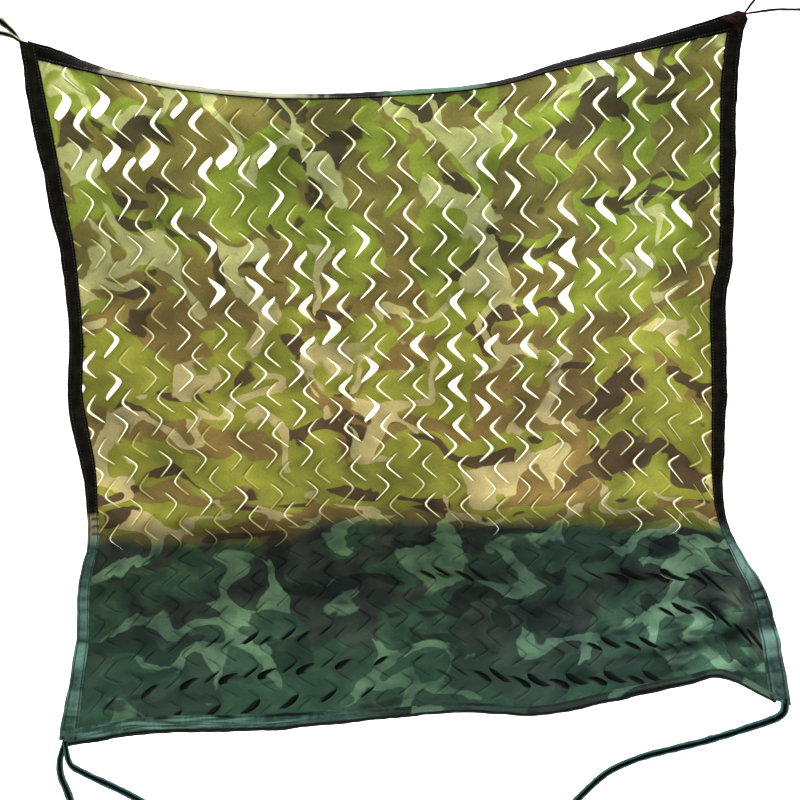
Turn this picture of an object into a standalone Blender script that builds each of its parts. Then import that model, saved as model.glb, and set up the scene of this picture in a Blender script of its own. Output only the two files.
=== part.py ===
"""A printed camouflage netting panel, hung by tape ties at its four corners.

One sheet of cloth is cut all over with staggered chevrons, which the pull of the ties opens.
Folded binding strips close its four edges, and folded tape ties leave its corners.

Frame: X to the right, Z up, and the face of the netting looks along -Y. The origin is at the
middle of the top edge. Sizes in the tables are in millimetres.
"""

import math

import bmesh
import bpy
from mathutils import Vector
from mathutils.geometry import delaunay_2d_cdt

MM = 0.001

# --- Driving dimensions -------------------------------------------------------------------

SHEET_THICKNESS = 1.5 * MM
SEWN_GAP = 0.3 * MM

# The lattice of cuts: how far across and down the sheet its middle place lies, from 0 to 1, and how
# far one column, one row and both together move it. The rows arch up in the middle.
LAST_COLUMN = 17
LAST_ROW = 14
MIDDLE_COLUMN = 8
MIDDLE_ROW = 7
ACROSS = {"middle": 0.5237, "column": 0.05736, "row": 0.00173, "both": -0.00028}
DOWN = {"middle": 0.4835, "column": 0.0026, "row": 0.06944, "both": 0.00017, "arch": 0.00094}

# The four edges of the sheet, where the binding is sewn on, x and z. The sides also say which row
# of cuts passes each point.
TOP_EDGE = (
    (-554, 55), (-451, 27), (-320, 1), (-165, -9), (0, -4), (173, 12),
    (291, 43), (413, 69), (549, 100),
)
BOTTOM_EDGE = (
    (-478, -1013), (-376, -997), (-177, -992), (-42, -980), (126, -967), (245, -971),
    (366, -947), (478, -924), (520, -914), (558, -924), (606, -949),
)
LEFT_EDGE = (
    (-0.9, -554, 55), (0.9, -526, -89), (1.95, -510, -174), (2.95, -495, -252),
    (5.0, -482, -395), (6.2, -483, -476), (7.0, -474, -532), (8.0, -462, -599),
    (9.0, -457, -668), (9.75, -456, -718), (10.3, -463, -755), (10.85, -468, -791),
    (12.0, -467, -870), (12.95, -473, -935), (14.05, -478, -1013),
)
RIGHT_EDGE = (
    (-0.9, 549, 100), (-0.1, 541, 39), (1.0, 538, -47), (2.0, 538, -131), (3.8, 536, -260),
    (4.6, 523, -321), (5.6, 523, -390), (6.6, 525, -455), (8.0, 525, -548), (9.0, 525, -615),
    (10.0, 534, -679), (11.0, 561, -747), (11.6, 580, -788), (12.0, 588, -814),
    (13.0, 598, -880), (14.05, 606, -949),
)
EDGE_STATIONS = 44

# Below the crease the netting leans out towards its face.
CREASE_Z = -705 * MM
CREASE_SOFTNESS = 25 * MM
LEAN_PER_DROP = 0.235

# Soft folds: x and z of the middle, direction in degrees, half length, half width and rise.
FOLDS = (
    (-490, -13, -52, 130, 16, 6),
    (-300, -33, -12, 220, 34, 7),
    (420, 17, 20, 190, 26, 6),
    (-330, -648, 3, 210, 22, 9),
    (-120, -673, -6, 220, 20, 6),
    (250, -661, 4, 260, 24, 6),
    (530, -898, 28, 110, 15, 12),
    (505, -855, 8, 150, 13, -9),
    (560, -793, 62, 120, 14, 8),
    (-420, -823, -70, 120, 12, 7),
    (-360, -953, 20, 150, 14, 7),
    (-40, -853, 8, 240, 40, 8),
    (120, -323, -78, 260, 60, 7),
    (-200, -413, 82, 260, 50, -6),
    (400, -353, 86, 260, 45, -6),
)

# Tips of a cut from its vertex, in columns and rows. A cut points right, and the next one left.
POINTS_RIGHT = {"vertex": (0.0, 0.0), "upper": (-0.39, -0.35), "lower": (-0.50, 0.45)}
POINTS_LEFT = {"vertex": (0.0, 0.47), "upper": (0.36, -0.32), "lower": (0.48, 0.45)}
VERTEX_ROUNDING = 0.34
INNER_SHARE = 0.68
LEAST_OPENING = 4.0 * MM
EDGE_CLEARANCE = 9 * MM
CURL = 0.45

# How wide the cuts stand open: column and row of the middle of a zone, its half sizes, and the
# opening there.
RESTING_OPENING = 2.2
OPENINGS = (
    (8.4, 5.0, 5.2, 2.9, 6.0),
    (5.6, 4.0, 1.9, 1.2, 11.0),
    (8.8, 6.7, 1.9, 1.2, 10.0),
    (12.6, 4.6, 1.7, 1.2, 12.0),
    (15.4, 2.9, 1.7, 0.8, 9.0),
    (10.7, 8.2, 1.6, 1.4, 6.0),
    (2.9, 4.5, 1.3, 1.2, 5.5),
    (0.3, 0.4, 1.4, 0.9, 14.0),
    (2.1, 1.2, 1.1, 0.5, 13.0),
    (5.3, 1.0, 1.2, 0.5, 13.0),
    (3.9, 1.3, 1.6, 0.7, 9.0),
    (12.6, 0.0, 2.2, 0.8, 9.0),
    (14.4, -0.5, 1.5, 0.6, 11.0),
    (6.2, 2.9, 3.2, 0.9, 6.0),
    (13.4, 2.4, 1.4, 0.6, 8.0),
    (-0.7, 6.3, 0.6, 0.6, 8.0),
    (-0.7, 9.4, 0.6, 1.3, 6.0),
)

# Points that carry the folds where no cut is open.
FILL_PITCH = 40 * MM
FILL_CLEARANCE = 15 * MM

# Section of the binding: how far out from the sewn side, and half thickness there.
BINDING_SECTION = {"sewn": (0.0, 1.75), "belly": (15.5, 3.4), "rim": (20.0, 2.2)}
# How far each strip is rolled back along its length: place from 0 to 1, and angle in degrees.
TOP_ROLL = (
    (0.0, 0), (0.07, 8), (0.16, 62), (0.35, 74), (0.62, 74), (0.80, 40), (0.90, 6), (1.0, 0),
)
BOTTOM_ROLL = ((0.0, 52), (0.2, 58), (0.4, 68), (0.7, 74), (0.93, 72), (1.0, 60))
SIDE_ROLL = ((0.0, 0), (1.0, 0))

# Ties: a folded tape, drawn in where it is sewn on and knotted at its far end. Points hold x, z,
# how far back of the cloth, and the size of the tape there as a share of its full size.
TAPE = {"width": 13.0, "thickness": 4.0, "pitch": 21.0}
THIN_TAPE = {"width": 4.4, "thickness": 3.6, "pitch": 9.5}
TIES = {
    "tie_top_left_upper": (TAPE, (
        (-582.6, 86.1, 2.0, 0.40), (-592, 98, 3.4, 0.52), (-602, 108, 3.8, 0.62),
        (-616, 119, 3.8, 0.72), (-633, 130, 3.6, 0.80), (-653, 143, 3.4, 1.35),
        (-668, 153, 3.4, 0.72),
    )),
    "tie_top_left_lower": (TAPE, (
        (-583.2, 85.4, -2.4, 0.40), (-592, 91, -3.2, 0.46), (-602, 95, -3.4, 0.52),
        (-616, 98, -3.4, 0.58), (-633, 100, -3.2, 0.62), (-654, 101, -3.0, 1.20),
        (-671, 102, -3.0, 0.58),
    )),
    "tie_top_right_upper": (THIN_TAPE, (
        (576.1, 128.9, 2.6, 0.70), (588, 145, 3.0, 1.0), (597, 156, 3.0, 1.0), (611, 173, 3.0, 1.0),
        (628, 193, 3.0, 1.9), (637, 204, 3.0, 1.0),
    )),
    "tie_top_right_side": (THIN_TAPE, (
        (575.9, 128.3, -2.6, 0.70), (603, 132.2, -3.0, 1.0), (628, 135.2, -3.0, 1.0),
        (648, 135.2, -3.0, 1.0), (666, 135, -3.0, 1.0), (690, 135, -3.0, 1.9),
        (704, 134, -3.0, 1.0),
    )),
    "tie_bottom_left_inner": (TAPE, (
        (-501, -1030.8, 8.8, 0.60), (-505, -1053, 6.0, 0.85), (-502, -1074, 4.4, 0.95),
        (-493, -1093, 4.0, 0.95), (-484, -1112, 3.0, 0.95), (-473, -1131, 3.0, 1.30),
        (-457, -1155, 3.0, 0.80),
    )),
    "tie_bottom_left_outer": (TAPE, (
        (-497.4, -1025.4, 3.2, 0.60), (-487, -1055, -3.0, 0.80), (-465, -1068, -4.0, 0.90),
        (-437, -1081, -3.0, 0.90), (-403, -1096, -3.0, 0.90), (-371, -1112, -3.0, 0.90),
        (-340, -1129, -3.0, 1.30), (-317, -1143, -3.0, 0.80),
    )),
    "tie_bottom_right": (TAPE, (
        (629, -964.5, 0.0, 0.70), (626, -978, 0.0, 1.0), (611, -988, 0.0, 1.05),
        (571, -1001, 0.0, 1.0), (510, -1019, 0.0, 0.95), (460, -1031, 0.0, 0.95),
        (403, -1045, 0.0, 0.90), (355, -1064, 0.0, 0.90), (328, -1083, 0.0, 0.90),
        (292, -1116, 0.0, 0.90), (270, -1139, 0.0, 1.30), (253, -1160, 0.0, 0.80),
    )),
}


# --- Curves and surfaces ------------------------------------------------------------------

def in_metres(table):
    return [Vector(row) * MM for row in table]


class Route:
    """A smooth curve through points, each with the share of the way at which it is passed."""

    def __init__(self, shares, points):
        self.shares = [share / shares[-1] for share in shares]
        self.points = points
        self.pulls = []
        last = len(points) - 1
        for index in range(last + 1):
            before, after = max(index - 1, 0), min(index + 1, last)
            spread = self.shares[after] - self.shares[before]
            self.pulls.append((points[after] - points[before]) / spread)

    def at(self, share):
        share = min(max(share, 0.0), 1.0)
        index = 0
        while share > self.shares[index + 1]:
            index += 1
        step = self.shares[index + 1] - self.shares[index]
        t = (share - self.shares[index]) / step
        return (
            (2 * t**3 - 3 * t**2 + 1) * self.points[index]
            + (t**3 - 2 * t**2 + t) * step * self.pulls[index]
            + (3 * t**2 - 2 * t**3) * self.points[index + 1]
            + (t**3 - t**2) * step * self.pulls[index + 1]
        )


def by_length(table):
    """A route whose shares are the straight distances between its points."""
    points = in_metres(table)
    shares = [0.0]
    for start, end in zip(points, points[1:]):
        shares.append(shares[-1] + (end - start).length)
    return Route(shares, points)


def by_rows(table):
    """A route whose shares are the rows that its points lie on."""
    first = table[0][0]
    return Route([row - first for row, _, _ in table], in_metres([(x, z) for _, x, z in table]))


TOP, BOTTOM = by_length(TOP_EDGE), by_length(BOTTOM_EDGE)
LEFT, RIGHT = by_rows(LEFT_EDGE), by_rows(RIGHT_EDGE)


def sheet_point(across, down):
    """x and z of a place on the sheet, both from 0 to 1, blended from its four edges."""
    between_sides = LEFT.at(down).lerp(RIGHT.at(down), across)
    between_ends = TOP.at(across).lerp(BOTTOM.at(across), down)
    top_corners = TOP.at(0).lerp(TOP.at(1), across)
    bottom_corners = BOTTOM.at(0).lerp(BOTTOM.at(1), across)
    return between_sides + between_ends - top_corners.lerp(bottom_corners, down)


def depth(place):
    """y of the middle of the cloth: the lean below the crease, and the folds."""
    below = CREASE_Z - place.y
    drop = (below + math.hypot(below, CREASE_SOFTNESS)) / 2
    y = -LEAN_PER_DROP * drop
    for x, z, degrees, half_length, half_width, rise in FOLDS:
        offset = place - Vector((x, z)) * MM
        angle = math.radians(degrees)
        along = (offset.x * math.cos(angle) + offset.y * math.sin(angle)) / (half_length * MM)
        aside = (offset.y * math.cos(angle) - offset.x * math.sin(angle)) / (half_width * MM)
        y -= rise * MM * math.exp(-along * along - aside * aside)
    return y


def on_cloth(place):
    return Vector((place.x, depth(place), place.y))


def read_table(table, share):
    """The value at a share of the length, run straight from row to row."""
    for (start, value), (end, next_value) in zip(table, table[1:]):
        if share <= end:
            return value + (next_value - value) * (share - start) / (end - start)
    return table[-1][1]


# --- The cuts -----------------------------------------------------------------------------

def opening(column, row):
    """How wide a cut with its vertex here stands open."""
    width = RESTING_OPENING
    for zone_column, zone_row, half_columns, half_rows, most in OPENINGS:
        aside = (column - zone_column) / half_columns
        below = (row - zone_row) / half_rows
        width = max(width, most * math.exp(-((aside**2 + below**2) ** 2) / 2))
    return width * MM


def lattice_share(column, row):
    """How far across and down the sheet a place of the lattice lies, from 0 to 1."""
    c, r = column - MIDDLE_COLUMN, row - MIDDLE_ROW
    across = ACROSS["middle"] + ACROSS["column"] * c + ACROSS["row"] * r + ACROSS["both"] * c * r
    down = DOWN["middle"] + DOWN["column"] * c + DOWN["row"] * r + DOWN["both"] * c * r
    return across, down + DOWN["arch"] * c * c


def lattice_point(column, row):
    return sheet_point(*lattice_share(column, row))


def cut_outline(column, row, cut):
    """The outline of an open cut, from tip to tip and back along its inner lip, and its width."""
    c, r = column + cut["vertex"][0], row + cut["vertex"][1]
    vertex = lattice_point(c, r)
    upper = lattice_point(c + cut["upper"][0], r + cut["upper"][1])
    lower = lattice_point(c + cut["lower"][0], r + cut["lower"][1])
    width = opening(c, r)
    points_to = (vertex - (upper + lower) / 2).normalized()
    outer = points_to * width * (1 - INNER_SHARE)
    inner = -points_to * width * INNER_SHARE
    shoulders = [vertex.lerp(tip, VERTEX_ROUNDING) for tip in (upper, lower)]
    outline = [
        upper,
        shoulders[0] + 0.8 * outer,
        vertex + outer,
        shoulders[1] + 0.8 * outer,
        lower,
        shoulders[1] + 0.75 * inner,
        vertex + inner,
        shoulders[0] + 0.75 * inner,
    ]
    return outline, width


def to_boundary(place, boundary):
    """Distance from a place to the sheet's outline."""
    least = math.inf
    for start, end in zip(boundary, boundary[1:] + boundary[:1]):
        side = end - start
        share = min(max((place - start).dot(side) / side.length_squared, 0.0), 1.0)
        least = min(least, (place - start - side * share).length)
    return least


def within_sheet(column, row, cut):
    """Whether all of a cut lies on the sheet."""
    c, r = column + cut["vertex"][0], row + cut["vertex"][1]
    corners = [(c, r)] + [(c + cut[end][0], r + cut[end][1]) for end in ("upper", "lower")]
    shares = [share for corner in corners for share in lattice_share(*corner)]
    return min(shares) > 0.005 and max(shares) < 0.995


def open_cuts(boundary):
    """The outlines and widths of the cuts that stand open and lie clear of the binding."""
    cuts = []
    for row in range(-1, LAST_ROW + 1):
        for column in range(-1, LAST_COLUMN + 1):
            for cut in (POINTS_RIGHT, POINTS_LEFT):
                if not within_sheet(column, row, cut):
                    continue
                outline, width = cut_outline(column, row, cut)
                if width < LEAST_OPENING:
                    continue
                if min(to_boundary(point, boundary) for point in outline) < EDGE_CLEARANCE:
                    continue
                cuts.append((outline, width))
    return cuts


# --- The sheet ----------------------------------------------------------------------------

def edge_shares():
    return [index / EDGE_STATIONS for index in range(EDGE_STATIONS + 1)]


def sheet_boundary():
    """The sheet's outline in x and z, once round from its top left corner."""
    top = [TOP.at(share) for share in edge_shares()]
    right = [RIGHT.at(share) for share in edge_shares()]
    bottom = [BOTTOM.at(share) for share in edge_shares()][::-1]
    left = [LEFT.at(share) for share in edge_shares()][::-1]
    return top[:-1] + right[:-1] + bottom[:-1] + left[:-1]


def fill_points(boundary, cuts):
    """Places between the cuts, at an even pitch, that let the cloth follow its folds."""
    middles = [(outline[2] + outline[4] + outline[0]) / 3 for outline, _ in cuts]
    corners = [point for outline, _ in cuts for point in outline]
    places = []
    across_count = round((TOP.at(1) - TOP.at(0)).length / FILL_PITCH)
    down_count = round((LEFT.at(1) - LEFT.at(0)).length / FILL_PITCH)
    for row in range(1, down_count):
        for column in range(1, across_count):
            shift = 0.25 if row % 2 else -0.25
            place = sheet_point((column + shift) / across_count, row / down_count)
            clear = all((place - near).length > FILL_CLEARANCE for near in middles + corners)
            if clear and to_boundary(place, boundary) > FILL_CLEARANCE:
                places.append(place)
    return places


def turned_left(loop, places):
    """The loop of point numbers, in the order that runs anticlockwise."""
    points = [places[index] for index in loop]
    area = sum(a.x * b.y - b.x * a.y for a, b in zip(points, points[1:] + points[:1]))
    return loop if area > 0 else loop[::-1]


def make_sheet():
    boundary = sheet_boundary()
    cuts = open_cuts(boundary)
    places = list(boundary)
    outlines = [list(range(len(boundary)))]
    lift = [0.0] * len(boundary)
    for outline, width in cuts:
        outlines.append(list(range(len(places), len(places) + len(outline))))
        places.extend(outline)
        curl = width * CURL
        lift.extend((0, 0.5 * curl, curl, 0.5 * curl, 0, -0.7 * curl, -curl, -0.7 * curl))
    fill = fill_points(boundary, cuts)
    places.extend(fill)
    lift.extend([0.0] * len(fill))

    loops = [turned_left(outline, places) for outline in outlines]
    flat, _, faces, flat_from, _, faces_from = delaunay_2d_cdt(places, [], loops, 0, 1e-7)
    mesh = bmesh.new()
    points = [on_cloth(place) + Vector((0, lift[came_from[0]], 0))
              for place, came_from in zip(flat, flat_from)]
    half = Vector((0, SHEET_THICKNESS / 2, 0))
    verts = [mesh.verts.new(point - half) for point in points]
    for face, came_from in zip(faces, faces_from):
        if came_from == [0]:
            mesh.faces.new([verts[index] for index in face])
    for vert in [vert for vert in mesh.verts if not vert.link_faces]:
        mesh.verts.remove(vert)
    front = mesh.faces[:]
    back = bmesh.ops.extrude_face_region(mesh, geom=front, use_keep_orig=True)
    moved = [item for item in back["geom"] if isinstance(item, bmesh.types.BMVert)]
    bmesh.ops.translate(mesh, vec=2 * half, verts=moved)
    bmesh.ops.recalc_face_normals(mesh, faces=mesh.faces[:])
    return mesh


# --- The binding --------------------------------------------------------------------------

def binding_section():
    """The strip's section: out from the sheet, and towards its back."""
    sewn = BINDING_SECTION["sewn"][1]
    belly, belly_half = BINDING_SECTION["belly"]
    rim, rim_half = BINDING_SECTION["rim"]
    return [
        Vector((-sewn, 0)), Vector((0, sewn)), Vector((belly, belly_half)), Vector((rim, rim_half)),
        Vector((rim, -rim_half)), Vector((belly, -belly_half)), Vector((0, -sewn)),
    ]


def section_reach(roll):
    """How far a binding rolled back this many degrees stands out from the edge of the sheet."""
    rim = BINDING_SECTION["rim"][0] * math.cos(math.radians(roll))
    return SEWN_GAP + (BINDING_SECTION["sewn"][1] + rim) * MM


def edge_frames(route, side):
    """(place, direction out of the sheet) at each station of an edge."""
    frames = []
    for share in edge_shares():
        step = 0.5 / EDGE_STATIONS
        along = (route.at(share + step) - route.at(share - step)).normalized()
        frames.append((route.at(share), Vector((-along.y, along.x)) * side))
    return frames


def butt(frames, end, line):
    """Cuts the end of a strip along the line of the strip that it meets."""
    place, out = frames[end]
    frames[end] = (place, line / line.dot(out))


def run_through(frames, end, line, roll):
    """Carries a strip past a corner, to the outer side of the strip that it meets."""
    place, out = frames[end]
    along = (place - frames[1 if end == 0 else -2][0]).normalized()
    reach = section_reach(roll) / abs(along.x * line.y - along.y * line.x)
    end_out = out if roll else line / line.dot(out)
    frames.insert(0 if end == 0 else len(frames), (place + along * reach, end_out))


def binding_frames():
    """The frames of the four strips. The left strip closes the top left corner, the bottom strip
    the bottom left one, and the right strip both corners of its side."""
    strips = {
        "binding_top": edge_frames(TOP, 1),
        "binding_right": edge_frames(RIGHT, 1),
        "binding_bottom": edge_frames(BOTTOM, -1),
        "binding_left": edge_frames(LEFT, -1),
    }
    end_line = {}
    for name, frames in strips.items():
        end_line[name, 0] = (frames[0][0] - frames[1][0]).normalized()
        end_line[name, -1] = (frames[-1][0] - frames[-2][0]).normalized()
    butt(strips["binding_top"], 0, end_line["binding_left", 0])
    butt(strips["binding_top"], -1, end_line["binding_right", 0])
    butt(strips["binding_left"], -1, end_line["binding_bottom", 0])
    butt(strips["binding_bottom"], -1, end_line["binding_right", -1])
    run_through(strips["binding_left"], 0, end_line["binding_top", 0], 0)
    run_through(strips["binding_right"], 0, end_line["binding_top", -1], 0)
    run_through(strips["binding_right"], -1, end_line["binding_bottom", -1], BOTTOM_ROLL[-1][1])
    run_through(strips["binding_bottom"], 0, end_line["binding_left", -1], 0)
    return strips


def make_binding(frames, roll):
    """Walks the end face of the strip from station to station along its edge."""
    mesh = bmesh.new()
    sewn = BINDING_SECTION["sewn"][1]
    end_face = None
    for index, (place, out) in enumerate(frames):
        angle = math.radians(read_table(roll, index / (len(frames) - 1)))
        middle = on_cloth(place)
        wide = Vector((out.x, 0, out.y))
        points = []
        for point in binding_section():
            outwards = point.x * math.cos(angle) - point.y * math.sin(angle)
            backwards = point.x * math.sin(angle) + point.y * math.cos(angle)
            aside = wide * (SEWN_GAP + (sewn + outwards) * MM)
            points.append(middle + aside + Vector((0, backwards * MM, 0)))
        if end_face is None:
            first_ring = [mesh.verts.new(point) for point in points]
            end_face = mesh.faces.new(first_ring)
            continue
        walked = bmesh.ops.extrude_discrete_faces(mesh, faces=[end_face])["faces"][0]
        for vert, point in zip(walked.verts, points):
            vert.co = point
        end_face = walked
    mesh.faces.new(first_ring[::-1])
    bmesh.ops.recalc_face_normals(mesh, faces=mesh.faces[:])
    return mesh


# --- The ties -----------------------------------------------------------------------------

def tie_curve(name, tape, table):
    """A flat tape along its points: the curve's bevel rounds it and its extrusion widens it."""
    points = [Vector(row) for row in table]
    shares = [0.0]
    for start, end in zip(points, points[1:]):
        shares.append(shares[-1] + (end.xy - start.xy).length)
    route = Route(shares, points)
    curve = bpy.data.curves.new(name, "CURVE")
    curve.dimensions = "3D"
    curve.bevel_depth = tape["thickness"] / 2 * MM
    curve.extrude = (tape["width"] - tape["thickness"]) / 2 * MM
    curve.bevel_resolution = 2
    curve.use_fill_caps = True
    curve.twist_mode = "MINIMUM"
    count = round(shares[-1] / tape["pitch"]) + 1
    spline = curve.splines.new("POLY")
    spline.points.add(count - 1)
    for index, point in enumerate(spline.points):
        x, z, back, size = route.at(index / (count - 1))
        middle = on_cloth(Vector((x, z)) * MM)
        point.co = (middle.x, middle.y + back * MM, middle.z, 1)
        point.radius = size
    return curve


# --- Objects ------------------------------------------------------------------------------

def make_material(name, colour, roughness):
    material = bpy.data.materials.new(name)
    material.use_nodes = True
    surface = material.node_tree.nodes["Principled BSDF"]
    surface.inputs["Base Color"].default_value = (*colour, 1)
    surface.inputs["Roughness"].default_value = roughness
    surface.inputs["Metallic"].default_value = 0.0
    material.diffuse_color = (*colour, 1)
    return material


def add_object(name, data, material):
    data.materials.append(material)
    item = bpy.data.objects.new(name, data)
    bpy.context.scene.collection.objects.link(item)


def as_mesh(name, built):
    data = bpy.data.meshes.new(name)
    built.to_mesh(data)
    built.free()
    return data


for item in list(bpy.data.objects):
    bpy.data.objects.remove(item)

cloth = make_material("printed_cloth", (0.20, 0.27, 0.05), 0.85)
add_object("net_sheet", as_mesh("net_sheet", make_sheet()), cloth)

strip_cloth = make_material("binding_cloth", (0.07, 0.17, 0.13), 0.85)
rolls = {"binding_top": TOP_ROLL, "binding_bottom": BOTTOM_ROLL}
for name, frames in binding_frames().items():
    strip = make_binding(frames, rolls.get(name, SIDE_ROLL))
    add_object(name, as_mesh(name, strip), strip_cloth)

tape_cloth = make_material("tape_cloth", (0.06, 0.15, 0.12), 0.8)
for name, (tape, table) in TIES.items():
    add_object(name, tie_curve(name, tape, table), tape_cloth)
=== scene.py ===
# %% [markdown]
# # Camouflage netting, stretched by its corner ties
#
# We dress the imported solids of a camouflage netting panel. The real thing is a light printed cloth
# that a machine cuts all over with chevrons. Its four edges are closed by folded binding strips,
# and short tapes are sewn into its corners. Pulled at the corners, the chevrons open to crescents.
#
# The solids fix every size. This script replaces the soft ones with cloth that has its cuts, its
# curled lips, its seams and its print.

# %% Load the solids
import math

import bmesh
import bpy
from mathutils import Matrix, Vector, noise


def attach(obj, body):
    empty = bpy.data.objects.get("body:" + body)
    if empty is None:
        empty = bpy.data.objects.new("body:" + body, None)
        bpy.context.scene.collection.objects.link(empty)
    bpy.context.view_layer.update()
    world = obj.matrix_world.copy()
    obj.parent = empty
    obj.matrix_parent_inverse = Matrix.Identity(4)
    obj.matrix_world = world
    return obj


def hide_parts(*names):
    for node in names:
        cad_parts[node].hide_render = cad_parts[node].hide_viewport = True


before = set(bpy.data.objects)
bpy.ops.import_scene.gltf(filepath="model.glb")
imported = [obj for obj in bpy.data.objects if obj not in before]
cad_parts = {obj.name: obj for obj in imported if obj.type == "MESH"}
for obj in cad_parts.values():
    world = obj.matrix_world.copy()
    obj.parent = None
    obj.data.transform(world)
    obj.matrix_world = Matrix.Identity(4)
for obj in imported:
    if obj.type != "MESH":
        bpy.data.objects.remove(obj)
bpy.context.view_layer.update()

MM = 0.001
FRONT = Vector((0, -1, 0))
print("solids:", ", ".join(sorted(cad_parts)))

# %% [markdown]
# ## Small helpers
#
# Four things are needed again and again: to keep a value within limits, to read a value off a
# short table, to take a smooth noise at a place, and to measure a line of points.

# %% Small helpers


def clamped(value, low=0.0, high=1.0):
    return min(max(value, low), high)


def read_table(table, share):
    """The value of a table at this share, run straight from row to row."""
    for (start, value), (end, next_value) in zip(table, table[1:]):
        if share <= end:
            return value + (next_value - value) * (max(share, start) - start) / (end - start)
    return table[-1][1]


def ripple(x, y, z):
    """A smooth noise, about -1 to 1, the same every time."""
    return noise.noise(Vector((x, y, z)))


def line_length(points):
    return sum((end - start).xyz.length for start, end in zip(points, points[1:]))


print("half way up a ramp:", read_table(((0, 0), (1, 10)), 0.5))

# %% [markdown]
# ## The outline that everything follows
#
# The cloth is held by its edges, so its edges decide where every thread goes. Each edge is a row of
# places, in millimetres, joined by one smooth curve. The two sides also say which row of cuts
# passes each place, because the pull of the ties spreads the upper rows.

# %% The four edges of the cloth
TOP_EDGE = (
    (-554, 55), (-451, 31), (-320, 6), (-165, -7), (0, -4), (173, 12),
    (291, 43), (413, 69), (549, 100),
)
BOTTOM_EDGE = (
    (-478, -1013), (-376, -997), (-177, -992), (-42, -980), (126, -967), (245, -971),
    (366, -947), (478, -924), (520, -914), (558, -924), (606, -949),
)
LEFT_EDGE = (
    (-0.9, -554, 55), (0.9, -526, -89), (1.95, -510, -174), (2.95, -495, -252),
    (5.0, -482, -395), (6.2, -483, -476), (7.0, -474, -532), (8.0, -462, -599),
    (9.0, -457, -668), (9.75, -456, -718), (10.3, -463, -755), (10.85, -468, -791),
    (12.0, -467, -870), (12.95, -473, -935), (14.05, -478, -1013),
)
RIGHT_EDGE = (
    (-0.9, 549, 100), (-0.1, 541, 39), (1.0, 538, -47), (2.0, 538, -131), (3.8, 536, -260),
    (4.6, 523, -321), (5.6, 523, -390), (6.6, 525, -455), (8.0, 525, -548), (9.0, 525, -615),
    (10.0, 534, -679), (11.0, 561, -747), (11.6, 580, -788), (12.0, 588, -814),
    (13.0, 598, -880), (14.05, 606, -949),
)


class Route:
    """A smooth curve through points, each with the share of the way at which it is passed."""

    def __init__(self, shares, points):
        self.shares = [(share - shares[0]) / (shares[-1] - shares[0]) for share in shares]
        self.points = points
        self.pulls = []
        last = len(points) - 1
        for index in range(last + 1):
            before, after = max(index - 1, 0), min(index + 1, last)
            spread = self.shares[after] - self.shares[before]
            self.pulls.append((points[after] - points[before]) / spread)

    def at(self, share):
        share = clamped(share)
        index = 0
        while share > self.shares[index + 1]:
            index += 1
        step = self.shares[index + 1] - self.shares[index]
        t = (share - self.shares[index]) / step
        return (
            (2 * t**3 - 3 * t**2 + 1) * self.points[index]
            + (t**3 - 2 * t**2 + t) * step * self.pulls[index]
            + (3 * t**2 - 2 * t**3) * self.points[index + 1]
            + (t**3 - t**2) * step * self.pulls[index + 1]
        )


def by_length(points):
    """A route whose shares are the straight distances between its points."""
    shares = [0.0]
    for start, end in zip(points, points[1:]):
        shares.append(shares[-1] + (end - start).length)
    return Route(shares, points)


def flat_points(table):
    return [Vector(row[-2:]) * MM for row in table]


TOP, BOTTOM = by_length(flat_points(TOP_EDGE)), by_length(flat_points(BOTTOM_EDGE))
LEFT = Route([row[0] for row in LEFT_EDGE], flat_points(LEFT_EDGE))
RIGHT = Route([row[0] for row in RIGHT_EDGE], flat_points(RIGHT_EDGE))
print("top edge, corner to corner:", round((TOP.at(1) - TOP.at(0)).length, 3), "m")

# %% [markdown]
# ## A surface between four edges
#
# A Coons patch blends two opposite edges, then the other two, and takes away the corners that were
# counted twice. It gives x and z for any place on the cloth. The depth comes after: below a crease
# the cloth leans forward, and a few long soft folds cross it.

# %% Places on the cloth
CREASE_Z = -705 * MM
CREASE_SOFTNESS = 25 * MM
LEAN_PER_DROP = 0.235
# x and z of the middle, direction in degrees, half length, half width and rise.
FOLDS = (
    (-490, -13, -52, 130, 16, 6),
    (-300, -33, -12, 220, 34, 7),
    (420, 17, 20, 190, 26, 6),
    (-330, -648, 3, 210, 22, 9),
    (-120, -673, -6, 220, 20, 6),
    (250, -661, 4, 260, 24, 6),
    (500, -843, 14, 130, 12, 9),
    (492, -874, 13, 120, 10, -10),
    (535, -903, 28, 110, 14, 11),
    (560, -793, 62, 120, 14, 8),
    (-420, -823, -70, 120, 12, 7),
    (-360, -953, 20, 150, 14, 7),
    (-40, -853, 8, 240, 40, 8),
    (120, -323, -78, 260, 60, 7),
    (-200, -413, 82, 260, 50, -6),
    (400, -353, 86, 260, 45, -6),
)


def sheet_point(across, down):
    """x and z of a place on the cloth, both from 0 to 1, blended from its four edges."""
    between_sides = LEFT.at(down).lerp(RIGHT.at(down), across)
    between_ends = TOP.at(across).lerp(BOTTOM.at(across), down)
    top_corners = TOP.at(0).lerp(TOP.at(1), across)
    bottom_corners = BOTTOM.at(0).lerp(BOTTOM.at(1), across)
    return between_sides + between_ends - top_corners.lerp(bottom_corners, down)


def fold_rise(place):
    """How far the soft folds push the cloth towards the front here, in mm."""
    total = 0.0
    for x, z, degrees, half_length, half_width, rise in FOLDS:
        offset = place - Vector((x, z)) * MM
        angle = math.radians(degrees)
        along = (offset.x * math.cos(angle) + offset.y * math.sin(angle)) / (half_length * MM)
        aside = (offset.y * math.cos(angle) - offset.x * math.sin(angle)) / (half_width * MM)
        total += rise * math.exp(-along * along - aside * aside)
    return total


def depth(place):
    """y of the middle of the cloth: the lean below the crease, and the folds."""
    below = CREASE_Z - place.y
    drop = (below + math.hypot(below, CREASE_SOFTNESS)) / 2
    return -LEAN_PER_DROP * drop - fold_rise(place) * MM


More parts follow.
